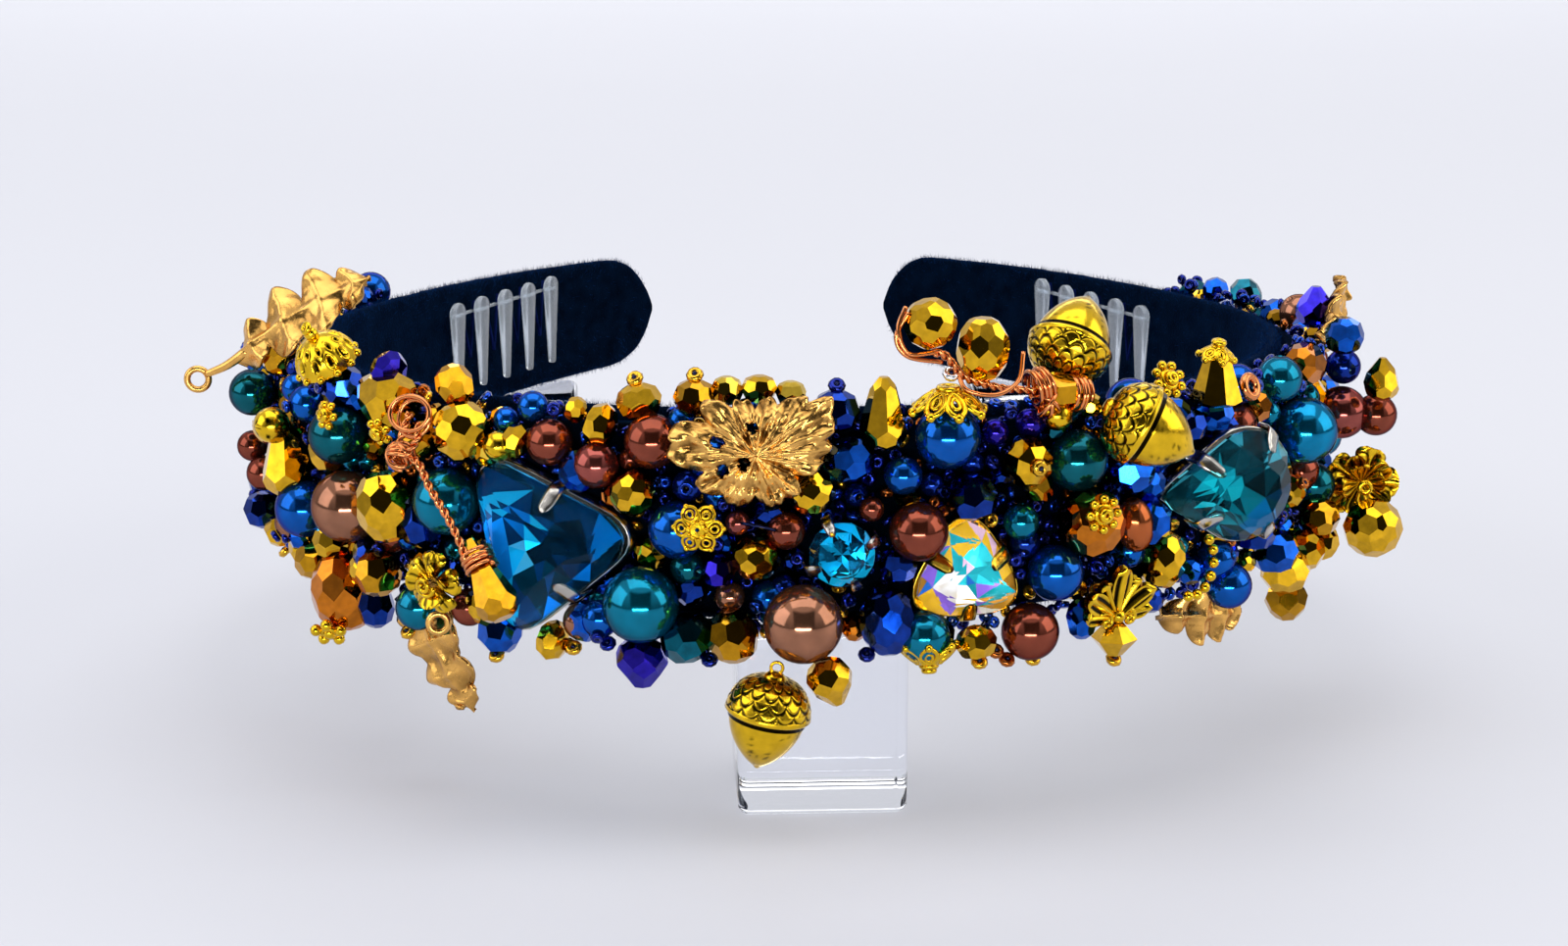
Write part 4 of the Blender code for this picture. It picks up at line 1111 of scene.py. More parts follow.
SET_STONES = (
    SetStone("trilliant", trilliant_outline, 12.2, 6.4, -33.9, 10.0, 4.6, 10.0, 0.0,
             (60.0, 180.0, 300.0), 9, BLUE_FOIL, 5),
    SetStone("crystal", rounded_trilliant_outline, 7.2, 4.6, 17.0, 6.8, 4.3, 90.0, -6.0,
             (60.0, 180.0, 300.0), 8, RAINBOW_FOIL, 3),
    SetStone("pear", pear_outline, 10.3, 5.4, 53.0, 13.6, 7.3, 0.0, -18.0,
             (45.0, 135.0, 225.0, 315.0), 10, TEAL_FOIL, 8),
    SetStone("chaton", round_outline, 4.1, 3.8, 1.8, 10.8, 6.3, 0.0, 0.0,
             (24.0, 114.0, 204.0, 294.0), 8, SKY_FOIL, 2),
)


def stone_reach(stone, azimuth):
    """How far the stone's outline reaches in a direction."""
    spots = np.linspace(0, TAU, 181)
    return max(stone.radius * stone.outline(a) * math.cos(a - azimuth) for a in spots)


def stone_crown(stone):
    """The clear cut crown above the girdle, with its table, kite and edge flats."""
    girdle = stone.depth * GIRDLE_LEVEL
    cuts = [((0, 0, 1), stone.depth), ((0, 0, -1), -(girdle - 0.35))]
    sides = 18 if stone.radius > SMALL_STONE else 12
    for i in range(sides):
        azimuth = TAU * i / sides
        half = TAU * (i + 0.5) / sides
        reach = stone_reach(stone, azimuth)
        cuts.append((way_of(0.0, azimuth), reach))
        cuts.append((way_of(CROWN_EDGE_TILT, azimuth), math.cos(CROWN_EDGE_TILT) * reach
                     + math.sin(CROWN_EDGE_TILT) * (girdle + 0.1)))
        if i % 2 == 0:
            inner = stone_reach(stone, half)
            cuts.append((way_of(CROWN_KITE_TILT, half), math.cos(CROWN_KITE_TILT) * inner * 0.80
                         + math.sin(CROWN_KITE_TILT) * stone.depth * 0.74))
    return cut_body(cuts, (0.0, 0.0, stone.depth * 0.6))


def stone_foil(stone):
    """Flats of the foiled back: a star in the middle, with smaller flats and painted glints round
    it, each flat given a lighter or darker tint as painted light and shade.
    """
    chance = random.Random(stone.seed)
    girdle = stone.depth * GIRDLE_LEVEL - 0.45
    rays = stone.rays
    rings = []
    for ring in FOIL_RINGS:
        spots = []
        outermost = ring is FOIL_RINGS[-1]
        count = rays * 2 if outermost else rays
        for i in range(count):
            angle = TAU * (i + ring.shift) / count
            reach = stone.radius * stone.outline(angle) * ring.share
            deep = ring.level * girdle * (1 if outermost else chance.uniform(0.2, 2.2))
            spots.append((reach * math.cos(angle), reach * math.sin(angle), deep))
        rings.append(spots)
    heart = (0.0, 0.0, 0.1)
    inner, middle, outer = rings
    foil = stone.foil
    flats = []

    def lay(ray, corners, tints):
        turn = ray + (chance.random() < NEXT_CHANCE)
        glint = tints is foil.rim and chance.random() < GLINT_CHANCE
        flats.append((corners, foil.glint if glint else tints[turn % len(tints)]))

    for i in range(rays):
        j = (i + 1) % rays
        after = (2 * i + 2) % (2 * rays)
        lay(i, (heart, inner[i], inner[j]), foil.heart)
        lay(i, (inner[i], middle[i], inner[j]), foil.inner)
        lay(i, (inner[j], middle[i], middle[j]), foil.middle)
        lay(i, (middle[i], outer[2 * i + 1], outer[after]), foil.rim)
        lay(i, (middle[i], outer[after], middle[j]), foil.rim)
        lay(i, (middle[i - 1], outer[2 * i], outer[2 * i + 1]), foil.rim)
        lay(i, (middle[i - 1], outer[2 * i + 1], middle[i]), foil.middle)
    return flats


SETTING_WALL = 0.3
SETTING_SLACK = 0.2
SMALL_SETTING_SLACK = -0.5
SETTING_BELOW_GIRDLE = 0.9
PRONG_HALF = 1.0
SMALL_PRONG_SHARE = 0.75


def prong_tab(stone, angle):
    """A rounded metal tab, bent from the cup's wall over the stone's edge."""
    share = stone.outline(angle)
    wall = (stone.radius + 0.45) * share
    top = STONE_LIFT + stone.depth * GIRDLE_LEVEL
    path = ((wall + 0.5, 0.2), (wall + 0.55, top - 0.3), (wall + 0.25, top + 0.45),
            (wall - 0.5, top + 1.0), (wall - 1.35, top + 1.65), (wall - 2.1, top + 2.35),
            (wall - 2.6, top + 2.75))
    widths = (0.9, 1.0, 1.0, 1.0, 0.95, 0.8, 0.3)
    half = PRONG_HALF
    if stone.radius < SMALL_STONE:
        path, widths = path[:5], (0.9, 1.0, 1.0, 0.9, 0.5)
        half = PRONG_HALF * SMALL_PRONG_SHARE
    upper, lower = [], []
    for i, ((x, z), width) in enumerate(zip(path, widths)):
        upper.append([(x, half * width * s, z + 0.18 * (1 - s * s)) for s in (-1, -0.5, 0, 0.5, 1)])
        lower.append([(x - (0.3 if i < 2 else 0.1), half * width * s, z - (0 if i < 2 else 0.32))
                      for s in (-1, -0.5, 0, 0.5, 1)])
    rows = [u + list(reversed(d)) for u, d in zip(upper, lower)]
    tab = web(rows, round_closed=True)
    last = len(tab.points)
    width = len(rows[0])
    tab = tab._replace(faces=tab.faces + [tuple(range(width)),
                                          tuple(reversed(range(last - width, last)))])
    return placed(tab, Matrix.Rotation(angle, 4, "Z"))


def setting_cup(stone):
    """A thin pressed cup that follows the stone's outline."""
    steps = 72
    angles = [TAU * i / steps for i in range(steps)]
    top = STONE_LIFT + stone.depth * GIRDLE_LEVEL - SETTING_BELOW_GIRDLE
    inner = stone.radius + (SETTING_SLACK if stone.radius > SMALL_STONE else SMALL_SETTING_SLACK)
    rows = []
    for reach, level in ((inner + SETTING_WALL - 1.2, 0.0), (inner + SETTING_WALL, 0.15),
                         (inner + SETTING_WALL, top), (inner, top), (inner - 0.1, 0.5)):
        rows.append([(reach * stone.outline(a) * math.cos(a), reach * stone.outline(a) * math.sin(a),
                      level) for a in angles])
    cup = web(rows, round_closed=True)
    last = len(cup.points)
    return cup._replace(faces=cup.faces + [tuple(reversed(range(steps))),
                                           tuple(range(last - steps, last))])


CROWNS = {"crystal": CLEAR_CROWN, "trilliant": BLUE_CROWN, "chaton": BLUE_CROWN}


def set_stones():
    for stone in SET_STONES:
        place = seat(stone.station, stone.height, stone.stand_off, stone.turn, 0.0, stone.swing)
        gilt = stone.name == "crystal"
        metal = ANTIQUE_GOLD if gilt else PRESSED_STEEL
        tint = "gold_pale" if gilt else "silver"
        cup = Piece(stone.name + "_setting_pressed", metal, FRAME_SLOTS[stone.name + "_setting"],
                    stone.name + "_setting")
        cup.add(setting_cup(stone), place, tint)
        for degrees in stone.prongs:
            cup.add(prong_tab(stone, math.radians(degrees)), place, tint)
        cup.make()
        held = place @ shifted(0.0, 0.0, STONE_LIFT)
        crown = CROWNS.get(stone.name, TEAL_CROWN)
        single(stone.name + "_crown", crown, FRAME_SLOTS[stone.name + "_stone"],
               stone_crown(stone), held, "clear", (stone.name + "_stone",))
        foil = Piece(stone.name + "_foil", FOIL, FRAME_SLOTS[stone.name + "_stone"],
                     stone.name + "_stone")
        for corners, tint in stone_foil(stone):
            foil.add(shape(corners, [(0, 1, 2)], smooth=False), held, tint)
        foil.make()


# Leaves

def give_thickness(made, thick):
    skin = made.modifiers.new("sheet thickness", "SOLIDIFY")
    skin.thickness = thick * MM
    skin.offset = -1.0


OakLook = namedtuple("OakLook", "node length width curl waist place")
OAK_LOOKS = (
    OakLook("leaf_upper_left", 25.0, 11.0, 2.0, 0.26, seat(-90.0, 25.0, 14.0, -52.0, 30.0, 40.0)),
    OakLook("leaf_lower_left", 20.2, 9.0, 1.2, 1.0, seat(-56.0, 0.3, 5.8, 208.0, -4.0, 10.0)),
    OakLook("leaf_lower_right", 18.0, 8.0, 1.2, 0.26, seat(47.0, -4.0, 4.8, -100.0)),
    OakLook("leaf_upper_right", 15.0, 7.0, 0.8, 0.26, seat(80.8, 27.3, 9.4, -62.0)),
)
OakLobe = namedtuple("OakLobe", "middle span reach")
OAK_LOBES = (OakLobe(0.17, 0.13, 0.64), OakLobe(0.43, 0.155, 1.0), OakLobe(0.70, 0.15, 0.92),
             OakLobe(0.91, 0.095, 0.56))
OAK_ROWS = 110
OAK_ACROSS = 25
OAK_THICKNESS = 0.6
OAK_PLEAT = 0.8
LOBE_LAG = 0.08
STEM_RING = on_band(-92.9, 21.4, 17.4)
STEM_RING_REACH = 1.5
LOW_RING = on_band(-48.2, -2.8, 8.2)
LOW_RING_REACH = 1.25
LOW_STEM = on_band(-51.6, -3.0, 7.2)
FACING = Matrix.Rotation(math.radians(90.0), 4, "X")


def oak_half_width(share, waist):
    """How far the leaf reaches to one side: rounded lobes on a middle drawn in to the tip."""
    reach = waist * (1 - 0.85 * min(1.0, share) ** 2)
    for lobe in OAK_LOBES:
        off = (share - lobe.middle) / lobe.span
        if abs(off) < 1:
            reach = max(reach, lobe.reach * math.sqrt(1 - off * off))
    return reach


def oak_leaf(look):
    """A cast oak leaf: thick rounded lobes, a raised rib to each, and a crinkled skin, painted
    darker as shade in the folds and away from the ribs.
    """
    rows, wear = [], []
    for i in range(OAK_ROWS):
        share = i / (OAK_ROWS - 1)
        row = []
        for j in range(OAK_ACROSS):
            s = 2 * j / (OAK_ACROSS - 1) - 1
            half = oak_half_width(share + 0.025 * (s > 0), look.waist) * look.width / 2
            y = look.length * (share * 0.96 + LOBE_LAG * abs(s) * (0.5 - share) * 1.4)
            bow = -look.curl * (2 * share - 1) ** 2
            rib = 0.6 * math.exp(-(s * half / 0.5) ** 2) * (1.1 - share)
            across_lobe = min(abs(share - lobe.middle) / lobe.span for lobe in OAK_LOBES)
            pleat = math.cos(math.pi * min(1.0, across_lobe)) * (0.25 + 0.75 * abs(s))
            side_rib = 0.30 * math.exp(-(across_lobe / 0.16) ** 2) * (1.05 - abs(s))
            crinkle = noise.noise(Vector((s * half * 0.6, y * 0.6, look.length))) * 0.5
            pebble = noise.noise(Vector((s * half * 2.4, y * 2.4, look.length))) * 0.05
            ruffle = noise.noise(Vector((s * 1.4, share * 5.0, look.length * 2))) * 1.1 * s * s
            fold = OAK_PLEAT * (1 - look.waist / 2) * pleat
            row.append((s * half, y, bow + rib + side_rib + fold
                        + crinkle * abs(s) + pebble + ruffle))
            # Painted shade: darker in the folds and hollows, lighter on the ribs and crests
            wear.append(min(1.0, max(0.0, 0.25 - rib - side_rib - pleat * 0.55 - pebble * 2.6
                                     - crinkle * 0.5)) * 0.85)
        rows.append(row)
    return web(rows, wear)


def oak_leaves():
    for look in OAK_LOOKS:
        made = single(look.node + "_stamped", RAW_BRASS, "brass_leaf", oak_leaf(look), look.place,
                      "brass", (look.node,), "brass_shadow")
        give_thickness(made, OAK_THICKNESS)
    stems = (("leaf_upper_left", OAK_LOOKS[0].place @ Vector((0.0, 3.0, -1.4)), STEM_RING,
              STEM_RING_REACH),
             ("leaf_lower_left", LOW_STEM, LOW_RING, LOW_RING_REACH))
    for node, root, ring, reach in stems:
        piece = Piece(node + "_stem", RAW_BRASS, "brass_leaf", node)
        end = ring + (root - ring).normalized() * reach
        middle = (root + end) / 2 + Vector((0.0, 0.0, -0.4))
        path = smooth_path([root, middle, end], 8)
        piece.add(tube(path, list(np.linspace(0.75, 0.5, len(path))), 10), None, "brass")
        piece.add(torus(reach, 0.48, 26, 10), Matrix.Translation(ring) @ FACING, "brass")
        piece.make()


MapleLobe = namedtuple("MapleLobe", "degrees reach notch")
MAPLE_LOBES = (
    MapleLobe(2.0, 9.2, 8.8), MapleLobe(16.0, 10.2, 10.2), MapleLobe(34.0, 12.0, 9.0),
    MapleLobe(52.0, 8.8, 6.6), MapleLobe(76.0, 7.2, 5.6), MapleLobe(100.0, 6.9, 6.6),
    MapleLobe(128.0, 9.2, 7.2), MapleLobe(160.0, 11.2, 10.5), MapleLobe(176.0, 11.2, 6.6),
    MapleLobe(212.0, 8.0, 6.4), MapleLobe(240.0, 6.8, 4.8), MapleLobe(290.0, 6.6, 6.2),
    MapleLobe(312.0, 7.0, 4.8), MapleLobe(346.0, 8.0, 7.8),
)
MAPLE_HOLES = ((-4.6, 2.0), (-0.4, 3.5), (-1.5, -0.9), (-4.3, -1.7))
MAPLE_HOLE = 0.8
MAPLE_THICKNESS = 0.4
NOTCH_SHARE = 0.9
MAPLE_PLACE = seat(-7.6, 24.4, 11.4, 4.0, 10.0)


def maple_rim(angle):
    """The leaf's reach in a direction: rounded lobes between notches, with fine teeth."""
    degrees = math.degrees(angle) % 360
    for lobe, after in zip(MAPLE_LOBES, MAPLE_LOBES[1:] + MAPLE_LOBES[:1]):
        span = (after.degrees - lobe.degrees) % 360
        ahead = (degrees - lobe.degrees) % 360
        if ahead <= span:
            t = ahead / span
            dip = (1 - abs(math.cos(math.pi * t))) ** 1.3
            base = lobe.reach * (1 - t) + after.reach * t
            notch = lobe.notch * NOTCH_SHARE + base * (1 - NOTCH_SHARE)
            return base * (1 - dip) + notch * dip + 0.10 * math.sin(angle * 31)


def pierced(leaf):
    """The leaf without the faces in its holes, the edge of each hole drawn to a circle."""
    holes = [Vector(spot) for spot in MAPLE_HOLES]
    keep = []
    for face in leaf.faces:
        middle = Vector(leaf.points[list(face), :2].mean(axis=0))
        if all((middle - hole).length > MAPLE_HOLE for hole in holes):
            keep.append(face)
    for i in {i for face in keep for i in face}:
        spot = Vector(leaf.points[i, :2])
        for hole in holes:
            away = spot - hole
            if 0.05 < away.length < MAPLE_HOLE * 1.25:
                leaf.points[i, :2] = hole + away.normalized() * MAPLE_HOLE * 1.1
    return leaf._replace(faces=keep)


def maple_leaf():
    """A pressed brass maple leaf with veins to each lobe, crumpled between them, painted darker as
    shade away from the veins and in the hollows of the crumples.
    """
    turns, depth = 240, 26
    rows, wear = [], []
    for i in range(turns):
        angle = TAU * i / turns
        rim = maple_rim(angle)
        row = []
        for j in range(depth):
            share = 0.02 + 0.98 * j / (depth - 1)
            x, y = rim * share * math.cos(angle), rim * share * math.sin(angle)
            vein = 0.0
            for lobe in MAPLE_LOBES:
                off = (angle - math.radians(lobe.degrees) + math.pi) % TAU - math.pi
                if abs(off) < 1.2:
                    width = 0.34 * (1.1 - share * 0.6)
                    across = rim * share * math.sin(off)
                    vein = max(vein, math.exp(-(across / width) ** 2))
                    branch = abs(across) - (rim * share - 3.0) * 0.35
                    vein = max(vein, 0.5 * math.exp(-(branch / 0.25) ** 2)
                               * (share > 0.45) * (abs(across) < 1.8))
            fold = math.cos((angle - 0.2) * 23) * 0.14 * share
            crumple = noise.noise(Vector((x * 0.55, y * 0.55, 3.0))) * 1.1
            pebble = noise.noise(Vector((x * 2.2, y * 2.2, 7.0))) * 0.20
            z = 0.9 - 1.3 * share ** 2 + 0.5 * vein * (1.15 - share) + fold + crumple * share
            row.append((x, y, z + pebble))
            # Painted shade: darker away from the veins and in the hollows of the crumples
            wear.append(max(0.0, min(0.85, 0.42 - vein - crumple * 1.0 - pebble * 3)))
        rows.append(row)
    return pierced(web(rows + [rows[0]], wear + wear[:depth]))


def leaf_centre():
    made = single("leaf_centre_stamped", RAW_BRASS, "brass_leaf", maple_leaf(), MAPLE_PLACE,
                  "brass", ("leaf_centre",), "brass_shadow")
    weld = made.modifiers.new("one sheet", "WELD")
    weld.merge_threshold = 0.02 * MM
    give_thickness(made, MAPLE_THICKNESS)


# Acorns

ACORN_LENGTH = 13.0
ACORN_WIDTH = 11.2
ACORN_PLACES = {
    "acorn_pendant": seat(-6.6, -10.0, 10.6, -11.0) @ UPRIGHT,
    "acorn_upper": seat(31.6, 35.4, 3.6, 145.0, 25.0) @ UPRIGHT,
    "acorn_side": seat(35.2, 25.6, 14.6, 62.0, -10.0, -40.0) @ UPRIGHT,
}
CAP_SEAM = 0.09
SCALE_ROWS = 5
SCALES_ROUND = 14
SCALE_LINE = 0.17


def acorn_nut():
    """A smooth nut, its widest place under the cap, drawn to a small point, a little worn."""
    profile = [(0.0, -0.515), (0.03, -0.505), (0.05, -0.485)]
    for t in np.linspace(0.06, 1, 26):
        profile.append((0.445 * (1 - (1 - t) ** 2.1) ** 0.78 * (1 - 0.05 * t ** 8),
                        -0.50 + (0.52 + CAP_SEAM) * t))
    nut = lathe([(r * ACORN_WIDTH, z * ACORN_LENGTH) for r, z in profile]
                + [(0.0, (0.02 + CAP_SEAM) * ACORN_LENGTH)], 60)
    specks = [max(0.0, noise.noise(Vector(p) * 1.7) + noise.noise(Vector(p) * 0.6) * 0.7 - 0.42)
              * 3.0 for p in nut.points]
    return nut._replace(wear=np.clip(specks, 0.0, 0.8))


def acorn_cap():
    """A smooth cap with rounded scales cut into it, their outlines filled with dark patina."""
    sides, levels = 196, 84
    rows, wear = [], []
    for j in range(levels + 1):
        t = j / levels
        bend = t * math.radians(88)
        reach = 0.485 * ACORN_WIDTH * math.cos(bend) ** 0.72 if t < 1 else 0.0
        level = ACORN_LENGTH * (CAP_SEAM + (0.44 - CAP_SEAM) * math.sin(bend) ** 1.15)
        row = []
        for i in range(sides):
            lane = t * SCALE_ROWS
            index = math.floor(lane)
            rise = lane - index
            around = i / sides * SCALES_ROUND + 0.5 * (index % 2)
            off = abs(around - math.floor(around) - 0.5) * 2
            arch = 0.12 + 0.70 * off ** 2.0
            groove = math.exp(-((rise - arch) / SCALE_LINE) ** 2)
            lift = 0.08 * max(0.0, 1.0 - (rise - arch)) if rise > arch else 0.0
            if t > 0.90 or t < 0.04:
                lift, groove = 0.05, 0.0
            out = reach + (lift - 0.16 * groove) * (reach > 0.5)
            angle = TAU * i / sides
            row.append((max(0.0, out) * math.cos(angle), max(0.0, out) * math.sin(angle), level))
            wear.append(min(1.0, groove * 1.5))
        rows.append(row)
    cap = web(rows, wear, round_closed=True)
    under = lathe([(ACORN_WIDTH * 0.44, (CAP_SEAM - 0.052) * ACORN_LENGTH),
                   (ACORN_WIDTH * 0.47, (CAP_SEAM - 0.044) * ACORN_LENGTH),
                   (ACORN_WIDTH * 0.495, (CAP_SEAM - 0.022) * ACORN_LENGTH),
                   (ACORN_WIDTH * 0.485, (CAP_SEAM + 0.005) * ACORN_LENGTH)], 72)
    groove = lathe([(ACORN_WIDTH * 0.446, (CAP_SEAM - 0.090) * ACORN_LENGTH),
                    (ACORN_WIDTH * 0.452, (CAP_SEAM - 0.046) * ACORN_LENGTH)], 72)
    groove = groove._replace(wear=groove.wear + 1.0)
    knob = lathe([(1.5, 0.41 * ACORN_LENGTH), (1.35, 0.455 * ACORN_LENGTH),
                  (0.9, 0.485 * ACORN_LENGTH), (0.0, 0.495 * ACORN_LENGTH)], 24)
    return joined(cap, under, groove, knob)


def acorns():
    for node, place in ACORN_PLACES.items():
        piece = Piece(node + "_cast", ANTIQUE_GOLD, "antique_gold", node)
        piece.add(acorn_nut(), place, "antique")
        piece.add(acorn_cap(), place, "antique")
        if node == "acorn_pendant":
            ring = torus(0.75, 0.22, 18, 8)
            piece.add(ring, place @ shifted(0, 0, 6.9) @ UPRIGHT, "antique")
        piece.make()


# Filigree caps and flowers

def filigree_cap(petals, tip, dome, thick):
    """Cast wirework: a loop and a slit for each petal, with a ball at its end, over a dome."""
    parts = []

    def on_dome(reach, angle):
        return (reach * math.cos(angle), reach * math.sin(angle), -dome * (reach / tip) ** 2)

    half = math.pi / petals
    for petal in range(petals):
        middle = TAU * petal / petals
        for size, width in ((1.0, 0.92), (0.5, 0.42)):
            loop = []
            for t in np.linspace(0, TAU, 19)[:-1]:
                reach = tip * (0.64 + 0.30 * size * math.cos(t))
                loop.append(on_dome(reach, middle + half * width * math.sin(t)
                                    * min(1.0, 0.55 * tip / reach + 0.25)))
            parts.append(tube(loop, thick if size == 1.0 else thick * 0.75, 6, closed=True))
        parts.append(placed(ball(thick * 3.4, 8, 6), shifted(*on_dome(tip * 0.97, middle))))
        parts.append(placed(ball(thick * 2.4, 8, 6), shifted(*on_dome(tip * 0.40, middle + half))))
    crown = torus(tip * 0.25, thick * 1.15, 20, 6)
    parts.append(placed(crown, shifted(0, 0, 0.12)))
    inner = torus(tip * 0.13, thick * 0.8, 14, 6)
    parts.append(placed(inner, shifted(0, 0, 0.2)))
    return joined(*parts)


PIERCED_RIM = 0.14
PETAL_SIDES = 16


def pierced_dome(petals, reach, depth):
    """A cast dome, its drop-shaped piercings made as sunk pits painted dark as the shade in a hole,
    with balls round its rim.
    """
    sides, levels = petals * PETAL_SIDES, 36
    rows, wear = [], []
    for j in range(levels + 1):
        t = j / levels
        bend = math.radians(4 + 88 * t)
        row = []
        for i in range(sides):
            across = (i % PETAL_SIDES) / PETAL_SIDES * 2 - 1
            small = ((i + PETAL_SIDES // 2) % PETAL_SIDES) / PETAL_SIDES * 2 - 1
            big_hole = math.hypot(across / 0.42, (t - 0.70) / 0.13)
            small_hole = math.hypot(small / 0.36, (t - 0.42) / 0.10)
            near = min(big_hole, small_hole)
            sunk = 1.0 if near < 0.85 else 0.0
            rim = math.exp(-((near - 1.25) / 0.28) ** 2)
            out = 1 + (rim * PIERCED_RIM - sunk * 0.5) / reach
            angle = TAU * i / sides
            row.append((reach * out * math.sin(bend) * math.cos(angle),
                        reach * out * math.sin(bend) * math.sin(angle),
                        depth * (math.cos(bend) * out - 1)))
            # The sunk pits take the dark colour: painted shade in place of an open hole
            wear.append(sunk)
        rows.append(row)
    parts = [web(rows, wear, round_closed=True)]
    for petal in range(petals):
        angle = TAU * (petal + 0.5) / petals
        parts.append(placed(ball(1.15, 10, 8), shifted(
            reach * math.cos(angle), reach * math.sin(angle), -depth)))
    return joined(*parts)


PETAL_RIDGES = 3


def ridged_petals(petals, inner, outer, lift, curl):
    """A row of cast petals with dark lines between their ridges."""
    parts = []
    half = math.pi / petals
    for petal in range(petals):
        middle = TAU * petal / petals
        rows, wear = [], []
        for i in range(13):
            t = i / 12
            reach = inner + (outer - inner) * t
            width = half * reach * (0.95 if t < 0.55 else math.sqrt(
                max(0.0, 1 - ((t - 0.55) / 0.47) ** 2)) * 0.95) + 0.02
            row = []
            for j in range(13):
                s = j / 6 - 1
                line = math.cos(math.pi * PETAL_RIDGES * s)
                z = lift * t + curl * t ** 2 - 0.35 * s * s + 0.10 * line
                x, y = reach, width * s
                row.append((x * math.cos(middle) - y * math.sin(middle),
                            x * math.sin(middle) + y * math.cos(middle), z))
                wear.append(max(0.0, -line) ** 2 * (1.0 if 0.12 < t < 0.90 else 0.1))
            rows.append(row)
        top = web(rows, wear)
        under = web([[(x, y, z - 0.4) for x, y, z in row] for row in reversed(rows)],
                    list(reversed(wear)))
        parts += [top, under]
    return joined(*parts)


def daisy(petals, reach, bead):
    """A small cast spacer: balls round a ring."""
    parts = [torus(reach * 0.55, bead * 0.25, 14, 6)]
    for petal in range(petals):
        angle = TAU * petal / petals
        parts.append(placed(ball(bead, 8, 6),
                            shifted(reach * math.cos(angle), reach * math.sin(angle), 0.0)))
    return joined(*parts)


def spiral(reach, turns, thick):
    spots = []
    for t in np.linspace(0.12, 1, int(turns * 16)):
        angle = TAU * turns * t
        spots.append((reach * t * math.cos(angle), reach * t * math.sin(angle), 0.9 - 0.7 * t))
    return tube(spots, thick, 6)


def fan_petal(length, width):
    """One cast petal along +Y: raised ridges with dark patina between them."""
    rows, wear = [], []
    for t in np.linspace(0, 1, 19):
        half = width / 2 * (0.35 + 0.65 * math.sin(math.pi / 2 * min(1.0, t * 1.6)))
        if t > 0.66:
            half *= math.sqrt(max(0.0, 1 - ((t - 0.66) / 0.345) ** 2))
        row = []
        for s in np.linspace(-1, 1, 17):
            line = math.cos(TAU * s)
            edge = 1 - s * s
            inside = 0.10 < t < 0.88
            row.append((half * s, length * t,
                        0.5 * edge + (0.24 * line if inside else 0.16) + 0.5 * t * t))
            wear.append(min(1.0, max(0.0, -line * 1.6)) if inside and abs(s) < 0.95 else 0.0)
        rows.append(row)
    under = [[(x, y, -0.3) for x, y, _ in row] for row in reversed(rows)]
    return joined(web(rows, wear), web(under))


def palmette(width, height):
    """A fan of cast petals, larger towards the middle, over two scrolls and a ball."""
    parts = []
    for i in range(7):
        angle = math.radians(8 + 164 * i / 6)
        length = height * (0.98 if i == 3 else 0.90 if i % 2 else 0.80)
        length = min(length, width / 2 / max(0.2, abs(math.cos(angle))) * 1.02)
        petal = fan_petal(length, 3.0 if i % 2 else 2.6)
        parts.append(placed(petal, Matrix.Rotation(angle - math.pi / 2, 4, "Z")
                            @ shifted(0.0, 0.0, 0.25 if i % 2 else 0.0)))
    parts.append(placed(ball(1.9, 12, 8), shifted(0, 0.3, 0.7)))
    for side in (-1, 1):
        parts.append(placed(spiral(1.3, 1.4, 0.34), shifted(side * 1.8, -0.2, 0.2)))
    return joined(*parts)


def caps_and_flowers():
    flower = seat(84.4, 6.6, 14.2, 0.0, 0.0, -70.0)
    pieces = {
        "cap_top": ((filigree_cap(8, 4.7, 2.9, 0.40), seat(13.7, 31.6, 8.4) @ UPRIGHT),),
        "cap_left": ((pierced_dome(11, 4.2, 4.4), seat(-66.0, 33.0, 11.3, 0.0, 62.0)),
                     (ball(2.0, 14, 10), seat(-66.0, 33.4, 11.7)),
                     (torus(0.6, 0.42, 12, 8), seat(-66.0, 34.2, 12.4, 0.0, 20.0))),
        "cap_low_left": ((ridged_petals(5, 0.8, 4.2, 0.7, -1.2), seat(-46.6, 3.6, 11.6, 10, -6)),
                         (ridged_petals(3, 0.6, 2.9, 1.2, 0.2), seat(-46.6, 3.6, 11.8, 40, -6)),
                         (spiral(1.5, 2.0, 0.34), seat(-46.6, 3.6, 12.4, 0.0, -6.0))),
        "flower_front": ((filigree_cap(6, 3.2, 0.9, 0.24), seat(-13.6, 15.4, 13.7)),
                         (daisy(6, 1.1, 0.8), seat(-13.6, 15.4, 13.9))),
        "flower_right": ((ridged_petals(5, 0.2, 5.3, -0.4, 0.9), flower),
                         (ridged_petals(5, 0.2, 4.5, 0.8, 0.8), flower @ spun(36.0)),
                         (ridged_petals(4, 0.2, 3.0, 1.8, 0.4), flower @ spun(10.0)),
                         (torus(0.75, 0.42, 12, 8), flower @ shifted(0.0, 0.0, 2.6))),
        "palmette_right": ((palmette(10.2, 7.4), seat(35.4, -0.6, 8.6, 0.0, -10.0)),),
    }
    for node, parts in pieces.items():
        piece = Piece(node + "_cast", ANTIQUE_GOLD, "antique_gold", node)
        for one, place in parts:
            piece.add(one, place, "antique")
        piece.make()


